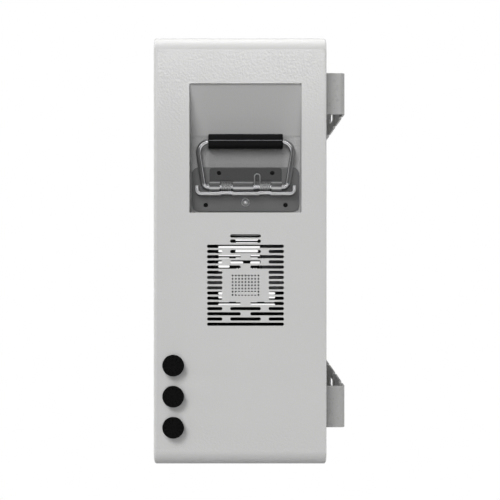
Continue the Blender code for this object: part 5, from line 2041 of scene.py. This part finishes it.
@dataclass
class Studio:
    """Camera, lamps, reflection cards, world and floor.

    Attributes:
        camera: Place of the camera, square to the right side.
        distance: Distance from the camera to the right side's face.
        view_height: Height of the picture at that face.
        sensor: Width of the camera's sensor, in millimetres.
        sky: Strength of the even light that falls on rough surfaces from above.
        ground: Strength of the even light that comes up from below.
        horizon: Rise of a direction, up or down, past which only one of the two shines.
        floor: Height of the floor, well below the hung unit.
        floor_half: Half the floor's length.
        floor_thick: Thickness of the floor.
        floor_corner: Radius of its corners.
        floor_steps: Steps in each corner.
        lamps: Soft lamps, far enough off to light each side evenly.
        cards: Grey cards that give the bright metal something darker to show.
    """

    camera: tuple[float, float, float] = (1.493, -0.12665, 0.0012)
    distance: float = 1.268
    view_height: float = 0.650
    sensor: float = 36.0
    sky: float = 0.21
    ground: float = 0.1
    horizon: float = 0.6
    floor: float = -3.0
    floor_half: float = 1.4
    floor_thick: float = 0.02
    floor_corner: float = 0.1
    floor_steps: int = 8
    lamps: tuple[Lamp, ...] = (
        Lamp("key_lamp", (4.7, -1.5, 2.9), (0.22, -0.13, 0.0), (2.0, 2.0), 186.0, False),
        Lamp("brow_lamp", (5.9, -0.4, 1.65), (0.22, -0.13, 0.2), (3.0, 0.6), 36.0),
        Lamp("fill_lamp", (6.2, 0.2, 0.1), (0.22, -0.13, -0.1), (2.4, 2.4), 77.0, False),
        Lamp("top_lamp", (0.1, -0.14, 1.6), (0.0, -0.14, 0.0), (0.9, 0.9), 13.0),
        Lamp("left_lamp", (-5.2, -1.6, 1.0), (-0.2, -0.14, 0.0), (2.2, 2.2), 228.0, False),
        Lamp("front_lamp", (0.0, -6.2, 0.9), (0.0, -0.2, 0.0), (2.2, 2.2), 193.0, False),
        Lamp("wall_lamp", (-0.5, 5.8, 1.2), (0.0, 0.0, 0.0), (2.2, 2.2), 182.0, False),
    )
    cards: tuple[Card, ...] = (
        Card("right_card", (7.0, -0.135, 5.05), 24.0, 11.9),
        Card("left_card", (-7.0, -0.135, 5.05), 24.0, 11.9),
    )

    def build_camera(self) -> None:
        """Camera that looks along -X with the wall to the right."""
        data = bpy.data.cameras.new("side_camera")
        data.sensor_width = self.sensor
        data.lens = self.sensor * self.distance / self.view_height
        camera = linked("side_camera", data)
        camera.location = self.camera
        camera.rotation_euler = (QUARTER, 0.0, QUARTER)
        bpy.context.scene.camera = camera

    def build_world(self) -> None:
        """White world for sight and mirrors, and a softer light, weaker from below, for the rest."""
        world = bpy.data.worlds.new("white_room")
        world.use_nodes = True
        world.node_tree.nodes.clear()
        bpy.context.scene.world = world
        sheet = NodeSheet(world)
        rays = sheet.add("ShaderNodeLightPath").outputs
        seen = sheet.math("MAXIMUM", rays["Is Camera Ray"], rays["Is Glossy Ray"])
        seen = sheet.math("MAXIMUM", seen, rays["Is Transmission Ray"])
        direction = sheet.add("ShaderNodeTexCoord").outputs["Generated"]
        rise = sheet.add("ShaderNodeSeparateXYZ", {"Vector": direction}).outputs["Z"]
        level = sheet.spread(rise, self.ground, self.sky, -self.horizon, self.horizon)
        soft, white = (
            sheet.add("ShaderNodeBackground", {"Color": (1.0,) * 4, "Strength": strength}).outputs[0]
            for strength in (level, 1.0))
        mix = sheet.add("ShaderNodeMixShader", {0: seen, 1: soft, 2: white}).outputs[0]
        sheet.add("ShaderNodeOutputWorld", {"Surface": mix})

    def build_floor(self) -> None:
        """Pale floor below the hung unit, which keeps its shadow."""
        length = 2 * self.floor_half
        flat = rounded_rectangle(length, length, self.floor_corner, self.floor_steps)
        board = prism(flat, self.floor - self.floor_thick, self.floor, Axis.Z)
        add_board("studio_floor", board, PALE_FLOOR)

    def build(self) -> None:
        """Camera, world, floor, lamps and cards, with plain colour management."""
        bpy.context.scene.view_settings.view_transform = "Standard"
        self.build_camera()
        self.build_world()
        self.build_floor()
        for item in self.lamps + self.cards:
            item.build()


def main() -> None:
    """Build every sub-assembly in order, then the studio round it."""
    logging.basicConfig(level=logging.INFO, format="%(name)s: %(message)s")
    Cabinet().build()
    for side in Side:
        HandlePocket(side).build()
        LiftHandle(side).build()
    for number in GLANDS:
        CableGland(number).build()
    WallBracket("upper_wall_bracket", 1).build()
    WallBracket("lower_wall_bracket", -1).build()
    Internals().build()
    Studio().build()


if __name__ == "__main__":
    main()
